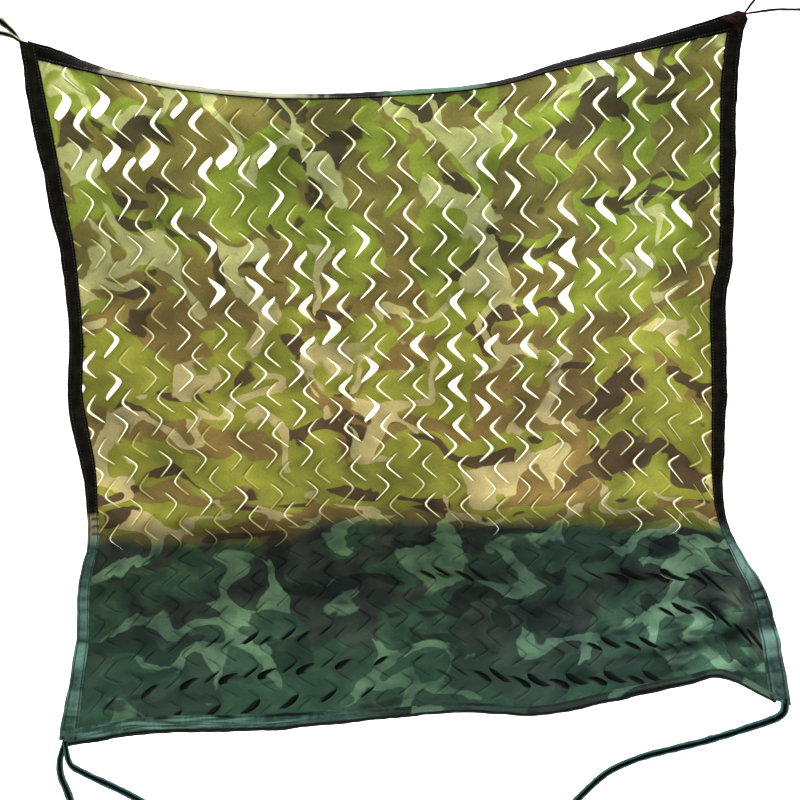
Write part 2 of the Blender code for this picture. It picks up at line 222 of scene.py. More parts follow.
def on_cloth(place, back=0.0):
    return Vector((place.x, depth(place) + back, place.y))


print("the lower edge leans forward by", round(-1000 * depth(BOTTOM.at(0.5))), "mm")

# %% [markdown]
# ## The camera
#
# A hung panel is looked at straight on, from about three metres. The camera is made before the
# cords, because a cord held by something out of view ends just outside the picture.

# %% Camera
CAMERA_AWAY, CAMERA_X, CAMERA_Z = 3.0, 0.0256, -0.489
LENS, SENSOR_WIDTH = 84.375, 36.0
camera_data = bpy.data.cameras.new("camera")
camera_data.lens = LENS
camera_data.sensor_width = SENSOR_WIDTH
camera_data.clip_end = 50.0
camera = bpy.data.objects.new("camera", camera_data)
camera.location = (CAMERA_X, -CAMERA_AWAY, CAMERA_Z)
camera.rotation_euler = (math.radians(90), 0, 0)
bpy.context.scene.collection.objects.link(camera)
bpy.context.scene.camera = camera
print("the picture is", round(CAMERA_AWAY * SENSOR_WIDTH / LENS, 2), "m wide at the cloth")

# %% [markdown]
# ## The studio
#
# Matt cloth shows its own colours best in broad soft light. A plain pale floor turns up behind the
# cloth in one curve, so there is no horizon. The curve is a short profile, extruded sideways.

# %% Floor and sweep
FLOOR_Z = -1.45
SWEEP_START_Y = 0.9
SWEEP_RADIUS = 0.7
SWEEP_TOP_Z = 3.2
SWEEP_STEPS = 16
HALF_FLOOR, FLOOR_FRONT_Y = 6, -7


def make_studio():
    mesh = bmesh.new()
    profile = [Vector((-HALF_FLOOR, y, FLOOR_Z)) for y in (FLOOR_FRONT_Y, SWEEP_START_Y)]
    for step in range(1, SWEEP_STEPS + 1):
        angle = math.radians(90 * step / SWEEP_STEPS)
        aside = Vector((0, SWEEP_RADIUS * math.sin(angle), SWEEP_RADIUS * (1 - math.cos(angle))))
        profile.append(profile[1] + aside)
    profile.append(Vector((-HALF_FLOOR, SWEEP_START_Y + SWEEP_RADIUS, SWEEP_TOP_Z)))
    verts = [mesh.verts.new(point) for point in profile]
    edges = [mesh.edges.new(pair) for pair in zip(verts, verts[1:])]
    pulled = bmesh.ops.extrude_edge_only(mesh, edges=edges)
    moved = [item for item in pulled["geom"] if isinstance(item, bmesh.types.BMVert)]
    bmesh.ops.translate(mesh, vec=(2 * HALF_FLOOR, 0, 0), verts=moved)
    return facing(smoothed(mesh), Vector((0, -1, 1)))


def smoothed(mesh):
    for face in mesh.faces:
        face.smooth = True
    return mesh


def facing(mesh, way):
    """Turns all faces of an open sheet towards one side."""
    bmesh.ops.recalc_face_normals(mesh, faces=mesh.faces[:])
    if sum(face.normal.dot(way) * face.calc_area() for face in mesh.faces) < 0:
        bmesh.ops.reverse_faces(mesh, faces=mesh.faces[:])
    return mesh


def link_mesh(name, mesh, *materials):
    """Turns a bmesh into an object at the origin."""
    data = bpy.data.meshes.new(name)
    mesh.to_mesh(data)
    mesh.free()
    for material in materials:
        data.materials.append(material)
    item = bpy.data.objects.new(name, data)
    bpy.context.scene.collection.objects.link(item)
    return item


studio_paint = bpy.data.materials.new("studio_paint")
studio_paint.use_nodes = True
paint_surface = studio_paint.node_tree.nodes["Principled BSDF"]
paint_surface.inputs["Base Color"].default_value = (0.90, 0.895, 0.88, 1)
paint_surface.inputs["Roughness"].default_value = 0.95
paint_surface.inputs["Specular IOR Level"].default_value = 0.0
# Seen from behind, the sweep lets one look through, so that the cloth can be seen from all sides.
paint_nodes, paint_links = studio_paint.node_tree.nodes, studio_paint.node_tree.links
one_sided = paint_nodes.new("ShaderNodeMixShader")
paint_links.new(paint_nodes.new("ShaderNodeNewGeometry").outputs["Backfacing"], one_sided.inputs[0])
paint_links.new(paint_surface.outputs[0], one_sided.inputs[1])
paint_links.new(paint_nodes.new("ShaderNodeBsdfTransparent").outputs[0], one_sided.inputs[2])
paint_links.new(one_sided.outputs[0], paint_nodes["Material Output"].inputs["Surface"])
link_mesh("studio_sweep", make_studio(), studio_paint)
print("floor at", FLOOR_Z, "m")

# %% [markdown]
# ## The light
#
# One broad lamp high on the left models the folds, a weaker one on the right opens their shadows,
# and one behind the cloth keeps the sweep white, so that light shows through the cuts.

# %% Lamps
LAMPS = {
    "key_lamp": {"place": (-2.2, -1.9, 2.2), "aims_at": (0, 0, -0.5), "size": 0.9, "watts": 62},
    "fill_lamp": {"place": (3.2, -3.0, 0.4), "aims_at": (0, 0, -0.5), "size": 3.0, "watts": 10},
    "sweep_lamp": {"place": (0, 0.55, 2.6), "aims_at": (0, 1.7, -0.4), "size": 2.6, "watts": 520},
}
for name, lamp in LAMPS.items():
    light = bpy.data.lights.new(name, "AREA")
    light.size = lamp["size"]
    light.energy = lamp["watts"]
    lamp_object = bpy.data.objects.new(name, light)
    lamp_object.location = lamp["place"]
    aim = Vector(lamp["aims_at"]) - Vector(lamp["place"])
    lamp_object.rotation_euler = aim.to_track_quat("-Z", "Y").to_euler()
    bpy.context.scene.collection.objects.link(lamp_object)

world = bpy.data.worlds.new("soft_room")
world.use_nodes = True
world.node_tree.nodes["Background"].inputs["Color"].default_value = (1.0, 0.99, 0.97, 1)
world.node_tree.nodes["Background"].inputs["Strength"].default_value = 0.30
bpy.context.scene.world = world
bpy.context.scene.view_settings.view_transform = "Standard"
print("lamps:", ", ".join(LAMPS))

# %% [markdown]
# ## Helpers for materials
#
# A material is a small net of nodes. These helpers add a node with its values or links already in
# place, and make the commonest small recipes: a step, a mix, a product, a noise. Each material
# below then reads as a short list of what it does.

# %% Node helpers


def plug(tree, socket, value):
    """Gives an input its value, or joins it to the output that makes the value."""
    if isinstance(value, bpy.types.NodeSocket):
        tree.links.new(value, socket)
    else:
        socket.default_value = value


def add_node(tree, kind, values=None, **settings):
    """A node of this kind. Values go to its input sockets, and settings to the node itself."""
    node = tree.nodes.new(kind)
    for key, value in settings.items():
        setattr(node, key, value)
    for socket, value in (values or {}).items():
        plug(tree, node.inputs[socket], value)
    return node


def group_node(tree, group, values=None):
    return add_node(tree, "ShaderNodeGroup", values, node_tree=group)


def maths(tree, operation, first, second=0.0):
    node = add_node(tree, "ShaderNodeMath", {0: first, 1: second}, operation=operation)
    return node.outputs[0]


def product(tree, first, second):
    return maths(tree, "MULTIPLY", first, second)


def stepped(tree, value, low, high):
    """A mask that runs from 0 at low to 1 at high."""
    node = add_node(tree, "ShaderNodeMapRange", {"Value": value, "From Min": low, "From Max": high},
                    interpolation_type="SMOOTHSTEP")
    return node.outputs["Result"]


def mixed(tree, mask, below, above, blend="MIX"):
    """A colour that goes from one to the other as the mask goes from 0 to 1."""
    node = add_node(tree, "ShaderNodeMix", {0: mask, 6: below, 7: above},
                    data_type="RGBA", blend_type=blend)
    return node.outputs[2]


def tinted(tree, colour, mask, tint):
    """The colour times a tint: its factors of red, green and blue where the mask is 0 and 1."""
    below, above = tint
    factor = mixed(tree, mask, (*below, 1), (*above, 1))
    return mixed(tree, 1.0, colour, factor, "MULTIPLY")


def noise_at(tree, place, scale, detail, roughness=0.5):
    node = add_node(tree, "ShaderNodeTexNoise", {
        "Vector": place, "Scale": scale, "Detail": detail, "Roughness": roughness})
    return node.outputs[0]


def axes(tree, vector):
    """x, y and z of a vector."""
    return tuple(add_node(tree, "ShaderNodeSeparateXYZ", {0: vector}).outputs)


def object_place(tree):
    return add_node(tree, "ShaderNodeTexCoord").outputs["Object"]


def attribute(tree, name):
    return add_node(tree, "ShaderNodeAttribute", attribute_name=name).outputs["Fac"]


def paint(red, green, blue):
    """A colour given as on a screen, from 0 to 255, made linear for the shader."""
    channels = []
    for value in (red, green, blue):
        share = value / 255
        channels.append(share / 12.92 if share <= 0.04045 else ((share + 0.055) / 1.055) ** 2.4)
    return (*channels, 1.0)


def new_group(name, inputs, outputs):
    """A node group with named sockets, and its two end nodes."""
    tree = bpy.data.node_groups.new(name, "ShaderNodeTree")
    for socket, (kind, value) in inputs.items():
        made = tree.interface.new_socket(socket, in_out="INPUT", socket_type=kind)
        if value is not None:
            made.default_value = value
    for socket, kind in outputs.items():
        tree.interface.new_socket(socket, in_out="OUTPUT", socket_type=kind)
    return tree, tree.nodes.new("NodeGroupInput"), tree.nodes.new("NodeGroupOutput")


print("a mid green is", [round(c, 3) for c in paint(127, 154, 40)])

# %% [markdown]
# ## Shared effect: woven threads
#
# All the cloths are plain weave. At arm's length the threads read as a very fine tooth with
# small slubs, so the group gives a height for a Bump node and a faint change of tone.

# %% Weave group
FLOAT, COLOUR, VECTOR = "NodeSocketFloat", "NodeSocketColor", "NodeSocketVector"
THREAD_HEIGHT = 0.25
SLUB_SCALE, SLUB_DETAIL, SLUB_TONE = 240.0, 2.0, (0.25, 0.75)
WHOLE_TURN = 6.283


def make_weave_group():
    tree, ins, outs = new_group(
        "woven_threads",
        {"Place": (VECTOR, None), "Threads per metre": (FLOAT, 420.0), "Slub": (FLOAT, 0.5)},
        {"Height": FLOAT, "Tone": FLOAT},
    )
    place, pitch = ins.outputs["Place"], ins.outputs["Threads per metre"]
    scaled = add_node(tree, "ShaderNodeVectorMath", {0: place, 3: pitch}, operation="SCALE")
    across, along, _ = axes(tree, scaled.outputs[0])
    warp = maths(tree, "SINE", product(tree, across, WHOLE_TURN))
    weft = maths(tree, "SINE", product(tree, along, WHOLE_TURN))
    slub = noise_at(tree, place, SLUB_SCALE, SLUB_DETAIL)
    threads = product(tree, product(tree, warp, weft), THREAD_HEIGHT)
    height = maths(tree, "ADD", threads, product(tree, slub, ins.outputs["Slub"]))
    plug(tree, outs.inputs["Height"], height)
    plug(tree, outs.inputs["Tone"], stepped(tree, slub, *SLUB_TONE))
    return tree


woven_threads = make_weave_group()
print("weave group outputs:", [socket.name for socket in woven_threads.interface.items_tree])

# %% [markdown]
# ## Shared effect: where the light comes through
#
# The upper part hangs in the sun, which shines through the cloth and makes it look warm and bright.
# Below the crease it hangs in its own shade and looks blue-green. This group gives the mask by which
# that sunlight and shade are painted into the colours. The change follows the crease across the
# cloth, a little uneven, and is a matter of height, not of where one stands.

# %% Sun and shade group
SHADE_LINE_Z = -0.717
SHADE_SLOPE = -0.018
# The line rises by a step between these two x.
SHADE_STEP, SHADE_STEP_X = 0.036, (-0.19, -0.08)
WAVE_SCALE, WAVE_DETAIL = 9.0, 2.0


def make_light_group():
    tree, ins, outs = new_group(
        "sun_through_cloth",
        {"Softness": (FLOAT, 0.016), "Unevenness": (FLOAT, 0.026)},
        {"Sun": FLOAT},
    )
    place = object_place(tree)
    x, _, z = axes(tree, place)
    wave = maths(tree, "SUBTRACT", noise_at(tree, place, WAVE_SCALE, WAVE_DETAIL), 0.5)
    shift = product(tree, wave, ins.outputs["Unevenness"])
    step = product(tree, stepped(tree, x, *SHADE_STEP_X), SHADE_STEP)
    tilt = maths(tree, "ADD", product(tree, x, SHADE_SLOPE), step)
    above = maths(tree, "ADD", maths(tree, "SUBTRACT", z, SHADE_LINE_Z), shift)
    height = maths(tree, "SUBTRACT", above, tilt)
    share = maths(tree, "DIVIDE", height, ins.outputs["Softness"])
    plug(tree, outs.inputs["Sun"], stepped(tree, share, -1.0, 1.0))
    return tree


sun_through_cloth = make_light_group()
print("shade begins at", SHADE_LINE_Z, "m")

# %% [markdown]
# ## The print
#
# A woodland print is four flat inks. Each ink is a noise pattern cut off sharply at a level, with
# the place bent first so the patches grow lobes and arms. They are laid over each other as a printer
# lays screens: green ground, then brown, then near-black, then pale green on top. Each ink has a
# sunlit and a shaded colour, so sunlight and shade are painted into the print itself.

# %% Print group
INKS = {
    "green": {"sun": (107, 123, 42), "shade": (34, 54, 43)},
    "brown": {"sun": (99, 95, 46), "shade": (33, 41, 37)},
    "black": {"sun": (64, 60, 36), "shade": (21, 31, 27)},
    "pale": {"sun": (143, 150, 92), "shade": (66, 91, 73)},
}
# Brown and pale are winding ribbons: a band around one level of a noise, broken up by a second
# noise. Black has so wide a band that only the second noise shapes it.
SCREENS = (
    {"ink": "brown", "scale": 5.2, "band": 0.10, "break": 4.5, "level": 0.455,
     "stretch": (1.0, 1.5, 1.0), "offset": 3.1},
    {"ink": "black", "scale": 7.0, "band": 1.0, "break": 9.0, "level": 0.612,
     "stretch": (0.75, 1.7, 1.0), "offset": 11.4},
    {"ink": "pale", "scale": 7.5, "band": 0.05, "break": 6.5, "level": 0.515,
     "stretch": (1.0, 1.3, 1.0), "offset": 23.7},
)
INK_EDGE = 0.008
RIBBON_DETAIL, BREAK_DETAIL, BREAK_ROUGHNESS = 0.6, 1.0, 0.6
# The two bends that give a patch its lobes and its arms: scale and detail of the noise, and push.
BENDS = ((13.0, 0.0, 0.10), (42.0, 1.0, 0.016))


def bend_place(tree, place, scale, detail, push):
    """The place, pushed about by a noise, so that whatever reads it gets a wandering outline."""
    bend = add_node(tree, "ShaderNodeTexNoise", {"Vector": place, "Scale": scale, "Detail": detail})
    centred = add_node(tree, "ShaderNodeVectorMath",
                       {0: bend.outputs["Color"], 1: (0.5, 0.5, 0.5)}, operation="SUBTRACT")
    pushed = add_node(tree, "ShaderNodeVectorMath", {0: centred.outputs[0], 3: push},
                      operation="SCALE")
    return add_node(tree, "ShaderNodeVectorMath", {0: place, 1: pushed.outputs[0]}).outputs[0]


def make_print_group():
    tree, ins, outs = new_group(
        "woodland_print", {"Place": (VECTOR, None), "Sun": (FLOAT, 1.0)}, {"Colour": COLOUR}
    )
    bent = ins.outputs["Place"]
    for bend in BENDS:
        bent = bend_place(tree, bent, *bend)
    inks = {name: mixed(tree, ins.outputs["Sun"], paint(*ink["shade"]), paint(*ink["sun"]))
            for name, ink in INKS.items()}
    colour = inks["green"]
    for screen in SCREENS:
        moved = add_node(tree, "ShaderNodeMapping", {
            "Vector": bent,
            "Location": (screen["offset"], 0.7 * screen["offset"], 0.0),
            "Scale": screen["stretch"],
        }).outputs[0]
        winding = noise_at(tree, moved, screen["scale"], RIBBON_DETAIL)
        off = maths(tree, "ABSOLUTE", maths(tree, "SUBTRACT", winding, 0.5))
        band, level = screen["band"], screen["level"]
        ribbon = stepped(tree, off, band + INK_EDGE / 2, band - INK_EDGE / 2)
        breaks = noise_at(tree, moved, screen["break"], BREAK_DETAIL, BREAK_ROUGHNESS)
        kept = stepped(tree, breaks, level - INK_EDGE, level + INK_EDGE)
        colour = mixed(tree, product(tree, ribbon, kept), colour, inks[screen["ink"]])
    plug(tree, outs.inputs["Colour"], colour)
    return tree


woodland_print = make_print_group()
print("inks:", ", ".join(INKS))

# %% [markdown]
# ## The printed cloth
#
# The material reads the cloth's own UV map, which is the flat cloth in metres, so the print follows
# every fold. Three attributes say what a flat drawing of the print can't: slash is the painted
# shadow beside the lip of a closed cut, rim a painted highlight along the sunlit edge of a cut, and
# tone how far a tongue or a fold is turned to the light, painted as light and shade.
#
# Painted light and shade are laid over the print as tints, and the slubs of the weave with them. A
# tint multiplies the colour, and a mask says where: by height, by how far to the side, by noise, by
# the sun that comes through, by the way the cloth faces, or by one of the attributes.

# %% Masks and tints of the cloth
PLAIN = (1, 1, 1)
# Factors of red, green and blue where the mask is 0 and where it is 1.
TINTS = {
    # Broad patches, lighter and darker by a noise: painted light and shade where the slack cloth
    # turns to and from the sun.
    "mottled": ((0.64, 0.65, 0.66), (1.40, 1.36, 1.20)),
    "turned": ((0.60, 0.60, 0.62), (1.34, 1.32, 1.25)),
    "slubs": ((0.90, 0.90, 0.90), (1.08, 1.08, 1.08)),
    # Painted sunlight: warmer low down, brightest before the sun, a little bluer all over.
    "low": (PLAIN, (1.22, 0.94, 1.08)),
    "before_sun": (PLAIN, (1.38, 1.40, 1.45)),
    "sun": (PLAIN, (1.0, 1.0, 1.18)),
    # Painted shade where the sunlit cloth turns in above the crease, painted light nearer the light
    # in the shade, and painted shade just under the crease.
    "turned_in": (PLAIN, (0.36, 0.37, 0.42)),
    "nearer_light": (PLAIN, (1.50, 1.52, 1.75)),
    "under_crease": (PLAIN, (0.78, 0.78, 0.74)),
    # Painted shade in deep hollows, painted light on high ridges, and painted shade on faces turned
    # back.
    "deep": (PLAIN, (0.30, 0.32, 0.36)),
    "high": (PLAIN, (1.50, 1.46, 1.38)),
    "behind": (PLAIN, (0.56, 0.56, 0.58)),
}
# The painted shade is blotched, darker and lighter by a noise.
BLOTCH_DARK, BLOTCH_LIGHT = (0.76, 0.77, 0.82, 1), (1.24, 1.20, 1.15, 1)
# Where the masks by place begin and where they are full, in metres.
LOW_Z, UNDER_CREASE_Z, HAZE_Z = (-0.12, -0.50), (-0.87, -0.76), (-0.82, -0.93)
SUN_PATCH_LEFT_X, SUN_PATCH_RIGHT_X, NEARER_LIGHT_X = (0.14, 0.30), (0.50, 0.44), (0.10, 0.34)
# Noises of the cloth: scale, detail and roughness.
MOTTLE_NOISE, BLOTCH_NOISE, HOLLOW_NOISE = (5.0, 4.0, 0.6), (26.0, 3.0), (12.0, 2.0)
# Where the other masks begin and where they are full: by noise, by tone, by the sun that comes
# through, by the way the cloth faces, and by attribute.
MOTTLE_STEP, BLOTCH_STEP, HOLLOW_STEP = (0.32, 0.68), (0.38, 0.62), (0.40, 0.30)
TURNED_TONE, DEEP_TONE, HIGH_TONE = (-0.9, 0.9), (-0.7, -2.0), (0.7, 1.7)
TURNED_IN_SUN, FACING_BACK = (1.0, 0.5), (0.2, 0.6)
SLASH_STEP, RIM_STEP = (0.10, 0.35), (0.90, 1.0)
HOLLOW_TURN, HOLLOW_STRETCH = (0, 0, 0.35), (1.0, 2.6, 1.0)
# Painted colours: light in the lower shade, shade in hollows, shadow beside slashes, and a highlight
# on sunlit rims.
HAZE_INK, HOLLOW_INK, SLASH_INK, RIM_INK = (47, 80, 64), (16, 24, 23), (9, 13, 12), (206, 204, 120)
HAZE_MOST, HOLLOW_MOST, RIM_MOST = 0.28, 0.65, 0.6
TURN_IN_HEIGHT = 0.075
print("tints:", ", ".join(TINTS))

# %% Cloth material


def cloth_surface(name, roughness, bump, gloss):
    """A matt cloth material: its tree, its shader, its place on the flat cloth and its sun mask."""
    material = bpy.data.materials.new(name)
    material.use_nodes = True
    tree = material.node_tree
    surface = tree.nodes["Principled BSDF"]
    surface.inputs["Roughness"].default_value = roughness
    surface.inputs["Specular IOR Level"].default_value = gloss
    place = add_node(tree, "ShaderNodeUVMap", uv_map="flat").outputs[0]
    weave = group_node(tree, woven_threads, {"Place": place})
    relief = add_node(tree, "ShaderNodeBump",
                      {"Height": weave.outputs["Height"], "Strength": bump, "Distance": 0.0006})
    plug(tree, surface.inputs["Normal"], relief.outputs[0])
    sun = group_node(tree, sun_through_cloth).outputs["Sun"]
    return material, tree, surface, place, weave.outputs["Tone"], sun


def print_at(tree, place, sun):
    return group_node(tree, woodland_print, {"Place": place, "Sun": sun}).outputs["Colour"]


print("node groups to place:", ", ".join(group.name for group in bpy.data.node_groups))

# %% Printed cloth


def make_printed_cloth():
    material, tree, surface, place, slubs, sun = cloth_surface(
        "printed_cloth", roughness=0.88, bump=0.35, gloss=0.08)
    shade = maths(tree, "SUBTRACT", 1.0, sun)
    x, _, z = axes(tree, object_place(tree))
    tone = attribute(tree, "tone")
    normal = add_node(tree, "ShaderNodeNewGeometry").outputs["Normal"]
    sun_patch = product(tree, stepped(tree, x, *SUN_PATCH_LEFT_X),
                        stepped(tree, x, *SUN_PATCH_RIGHT_X))
    wide_step = group_node(tree, sun_through_cloth, {"Softness": TURN_IN_HEIGHT}).outputs["Sun"]
    masks = {
        "mottled": stepped(tree, noise_at(tree, place, *MOTTLE_NOISE), *MOTTLE_STEP),
        "turned": stepped(tree, tone, *TURNED_TONE),
        "slubs": slubs,
        "low": product(tree, stepped(tree, z, *LOW_Z), sun),
        "before_sun": product(tree, sun_patch, sun),
        "sun": sun,
        "turned_in": product(tree, stepped(tree, wide_step, *TURNED_IN_SUN), sun),
        "nearer_light": product(tree, stepped(tree, x, *NEARER_LIGHT_X), shade),
        "under_crease": product(tree, stepped(tree, z, *UNDER_CREASE_Z), shade),
        "deep": product(tree, stepped(tree, tone, *DEEP_TONE), shade),
        "high": product(tree, stepped(tree, tone, *HIGH_TONE), shade),
        "behind": stepped(tree, axes(tree, normal)[1], *FACING_BACK),
    }

    def tinted_by(colour, *names):
        for name in names:
            colour = tinted(tree, colour, masks[name], TINTS[name])
        return colour

    colour = tinted_by(print_at(tree, place, sun), "mottled", "turned", "slubs", "low",
                       "before_sun", "sun", "turned_in", "nearer_light", "under_crease")
    # Blotches of painted shade.
    blotch = stepped(tree, noise_at(tree, place, *BLOTCH_NOISE), *BLOTCH_STEP)
    blotched = mixed(tree, shade, (*PLAIN, 1), mixed(tree, blotch, BLOTCH_DARK, BLOTCH_LIGHT))
    colour = mixed(tree, 1.0, colour, blotched, "MULTIPLY")
    # Painted light in the lower shade, greener and flatter.
    haze = product(tree, stepped(tree, z, *HAZE_Z), product(tree, shade, HAZE_MOST))
    colour = mixed(tree, haze, colour, paint(*HAZE_INK))
    # Painted shade in long hollows of the shade.
    drawn_out = add_node(tree, "ShaderNodeMapping", {
        "Vector": place, "Rotation": HOLLOW_TURN, "Scale": HOLLOW_STRETCH}).outputs[0]
    hollow = stepped(tree, noise_at(tree, drawn_out, *HOLLOW_NOISE), *HOLLOW_STEP)
    hollow = product(tree, hollow, product(tree, shade, HOLLOW_MOST))
    colour = mixed(tree, hollow, colour, paint(*HOLLOW_INK))
    colour = tinted_by(colour, "deep", "high")
    # Painted shadow beside slashes, then painted shade on faces turned back.
    shadow = stepped(tree, attribute(tree, "slash"), *SLASH_STEP)
    colour = tinted_by(mixed(tree, shadow, colour, paint(*SLASH_INK)), "behind")
    # Painted highlight on the sunlit rims of cuts.
    rim = stepped(tree, attribute(tree, "rim"), *RIM_STEP)
    rim = product(tree, rim, product(tree, sun, RIM_MOST))
    plug(tree, surface.inputs["Base Color"], mixed(tree, rim, colour, paint(*RIM_INK)))
    return material


printed_cloth = make_printed_cloth()
print("made", printed_cloth.name)

# %% [markdown]
# ## The netting
#
# The machine cuts chevrons in zigzag lines that run down the cloth, half a column apart. Every
# second line carries cuts that point right. The lines between carry cuts that point left, half a
# row lower. So the mesh starts as a plain grid whose upright lines are bent into those zigzags:
# each cut is then simply a run of edges, and splitting these edges is the cut.

# %% Lattice of cuts
MIDDLE_COLUMN = 8
MIDDLE_ROW = 7
ACROSS = {"middle": 0.5237, "column": 0.05736, "row": 0.00173, "both": -0.00028}
DOWN = {"middle": 0.4835, "column": 0.0026, "row": 0.06944, "both": 0.00017, "arch": 0.00094}
FLAT_WIDTH, FLAT_LENGTH = 1.10, 1.06
COLUMN_PITCH = 60.0
STRIP_STEPS = 4
ROW_STEPS = 18
UPPER_REACH, LOWER_REACH = 6 / 18, 7.5 / 18
TURN_ROUNDING = 0.90
# Below the crease the cloth is slack and settles, so its rows come to lie closer together: the row
# of the cuts, and the row of the even lattice at which it hangs.
SETTLED_ROWS = ((-3.0, -3.0), (10.2, 10.2), (11.2, 10.8), (16.0, 14.64))


def lattice_share(column, row):
    """How far across and down the cloth a place of the lattice lies, from 0 to 1."""
    c, r = column - MIDDLE_COLUMN, read_table(SETTLED_ROWS, row) - MIDDLE_ROW
    across = ACROSS["middle"] + ACROSS["column"] * c + ACROSS["row"] * r + ACROSS["both"] * c * r
    down = DOWN["middle"] + DOWN["column"] * c + DOWN["row"] * r + DOWN["both"] * c * r
    return across, down + DOWN["arch"] * c * c


def zigzag(row):
    """How far left of its right-hand points a line runs, from 0 to 1, with rounded turns."""
    swing = math.asin(TURN_ROUNDING * math.cos(2 * math.pi * row))
    return 0.5 - swing / (2 * math.asin(TURN_ROUNDING))


def line_column(line, row):
    """The column at which a zigzag line passes this row. Lines are half a column apart."""
    return (line - zigzag(row)) / 2


print("a row is", round(FLAT_LENGTH * DOWN["row"], 4), "m of the flat cloth")

# %% [markdown]
# ## How wide the cuts stand open
#
# A cut opens where the cloth is pulled across it. Near the upper corners the pull is strong, in
# the middle it is even, and below the crease the cuts stay shut, one lip tucked under the other.
# Close to the sewn upper edge the cloth is held, and little opens.
# Zones say the widest opening and which arm of the chevron opens most: -1 for the upper arm and 1
# for the lower one. A little unevenness per cut keeps it from looking like a grille.

# %% Openings
RESTING_OPENING = 0.98
# Column, row, half sizes of the zone, opening in mm, and the bias of right and left cuts.
OPENINGS = (
    (8.4, 5.0, 5.4, 3.2, 4.2, 0.10, 0.15),
    (5.6, 4.0, 1.9, 1.0, 6.5, 0.20, -0.20),
    (12.6, 4.4, 2.0, 1.6, 6.0, -0.10, 0.30),
    (9.6, 7.0, 2.0, 1.6, 6.0, 0.10, 0.20),
    (1.6, 1.0, 2.8, 1.4, 3.5, 0.40, -0.40),
    (13.6, 0.2, 3.4, 1.2, 5.0, 0.20, -0.10),
    (14.6, 3.0, 2.0, 1.0, 4.5, -0.30, 0.50),
    (-0.7, 6.3, 0.6, 0.6, 9.0, 0.10, 0.00),
)
# The widest cuts, one by one: line and row of the cut, opening in mm, and bias.
WIDE_CUTS = {
    (27, -0.5): (11, 0.6), (29, -0.5): (14, 0.5), (0, 0): (17, 0.5), (2, 0): (17, 0.5),
    (6, 0): (11, 0.6), (24, 0): (6, -0.2), (28, 0): (11, 0.3),
    (1, 0.5): (18, -0.6), (5, 0.5): (7, -0.3), (7, 0.5): (13, -0.5), (27, 0.5): (7, -0.4),
    (2, 1): (17, 0.6), (4, 1): (19, 0.6), (8, 1): (20, 0.6), (10, 1): (15, 0.6), (22, 1): (7, 0.4),
    (1, 1.5): (10, -0.4), (3, 1.5): (14, -0.6), (7, 1.5): (16, -0.4), (9, 1.5): (6, -0.3),
    (21, 1.5): (7, 0.1), (10, 2): (6, 0.4), (22, 2): (8, -0.1), (28, 2): (8, 0.1),
    (5, 2.5): (9, -0.2), (25, 2.5): (9, 0.4), (27, 2.5): (13, 0.4), (31, 2.5): (15, 0.5),
    (6, 3): (10, -0.4), (14, 3): (9, -0.1), (9, 3.5): (13, -0.4), (11, 3.5): (12, -0.4),
    (13, 3.5): (10, -0.6), (23, 3.5): (13, 0.4), (25, 3.5): (19, -0.1), (29, 3.5): (12, 0.5),
    (6, 4): (12, -0.1), (8, 4): (12, -0.3), (12, 4): (11, -0.1), (24, 4): (15, -0.4),
    (26, 4): (9, -0.3),
    (9, 4.5): (11, -0.3), (11, 4.5): (13, -0.3), (19, 4.5): (10, 0.0), (23, 4.5): (13, 0.0),
    (25, 4.5): (16, 0.2), (12, 5): (15, 0.1), (11, 5.5): (13, -0.5), (17, 5.5): (12, 0.0),
    (19, 5.5): (10, 0.0), (21, 5.5): (12, -0.4), (23, 5.5): (10, 0.1), (14, 6): (12, 0.1),
    (18, 6): (9, 0.0), (20, 6): (11, -0.4), (13, 6.5): (9, -0.1), (19, 6.5): (13, 0.0),
    (14, 7): (10, 0.4), (20, 7): (11, -0.2), (19, 7.5): (8, 0.1), (0, 5): (7, 0.3),
    (-1, 5.5): (9, -0.3), (0, 6): (9, 0.4),
}
# The last open row, by column.
LAST_OPEN_ROW = ((0, 9.5), (12, 10.0), (15, 10.0), (16, 9.2), (17, 8.8))
# Left of this column the sewn upper edge holds the cuts: share of the way down, and what that
# leaves of their opening.
HELD_COLUMN, HELD_CUTS = 9, ((0.02, 0.0), (0.07, 1.0))
# Each cut has its luck, from 0 to 1. A zone's width, the resting opening and a slash are multiplied
# by the first number where there is none, and by both together where it is full.
LUCK_OF_WIDTH, LUCK_OF_RESTING, LUCK_OF_SLASH = (0.35, 0.6), (-0.25, 2.0), (0.65, 0.35)
MOST_RESTING = 1.4
# How sharply an opening tapers. A bias makes that more towards the cut's point and past it, and
# less towards the tip of the arm that opens most.
TAPER, TAPER_PAST_POINT, TAPER_TO_TIP = 1.2, 5.0, 0.5
# Where closed cuts gape as dark slashes: column, row, half sizes of the zone, and strength.
SLASHES = (
    (13.9, 11.75, 1.5, 0.40, 1.0),
    (15.2, 12.75, 1.4, 0.40, 0.75),
    (12.6, 13.75, 1.4, 0.40, 0.45),
    (11.0, 14.75, 2.6, 0.36, 0.75),
    (8.7, 11.75, 1.0, 0.40, 0.5),
    (3.0, 14.6, 3.2, 0.50, 0.6),
    (3.4, 13.2, 1.6, 0.35, 0.35),
)
SLASH_TURN_COLUMN = 7.5
# A slash gapes on one arm only: the middle and half length of that leaf, as shares of the arm.
SLASH_ARM, SLASH_HALF = 0.5, 0.46
LEAST_SLASH = 0.04
print(len(OPENINGS), "zones,", len(WIDE_CUTS), "wide cuts and", len(SLASHES), "zones of slashes")

# %% How far a cut opens


def zone_share(zone, column, cut_row):
    """How far inside a zone a cut lies, from 1 in its middle to 0 well outside."""
    aside = (column - zone[0]) / zone[2]
    below = (cut_row - zone[1]) / zone[3]
    return math.exp(-((aside**2 + below**2) ** 2) / 2)


def slash_strength(column, cut_row):
    """How dark a closed cut may gape here, from 0 to 1."""
    return max([LEAST_SLASH] + [zone[4] * zone_share(zone, column, cut_row) for zone in SLASHES])


def with_luck(luck, shares):
    return shares[0] + shares[1] * luck


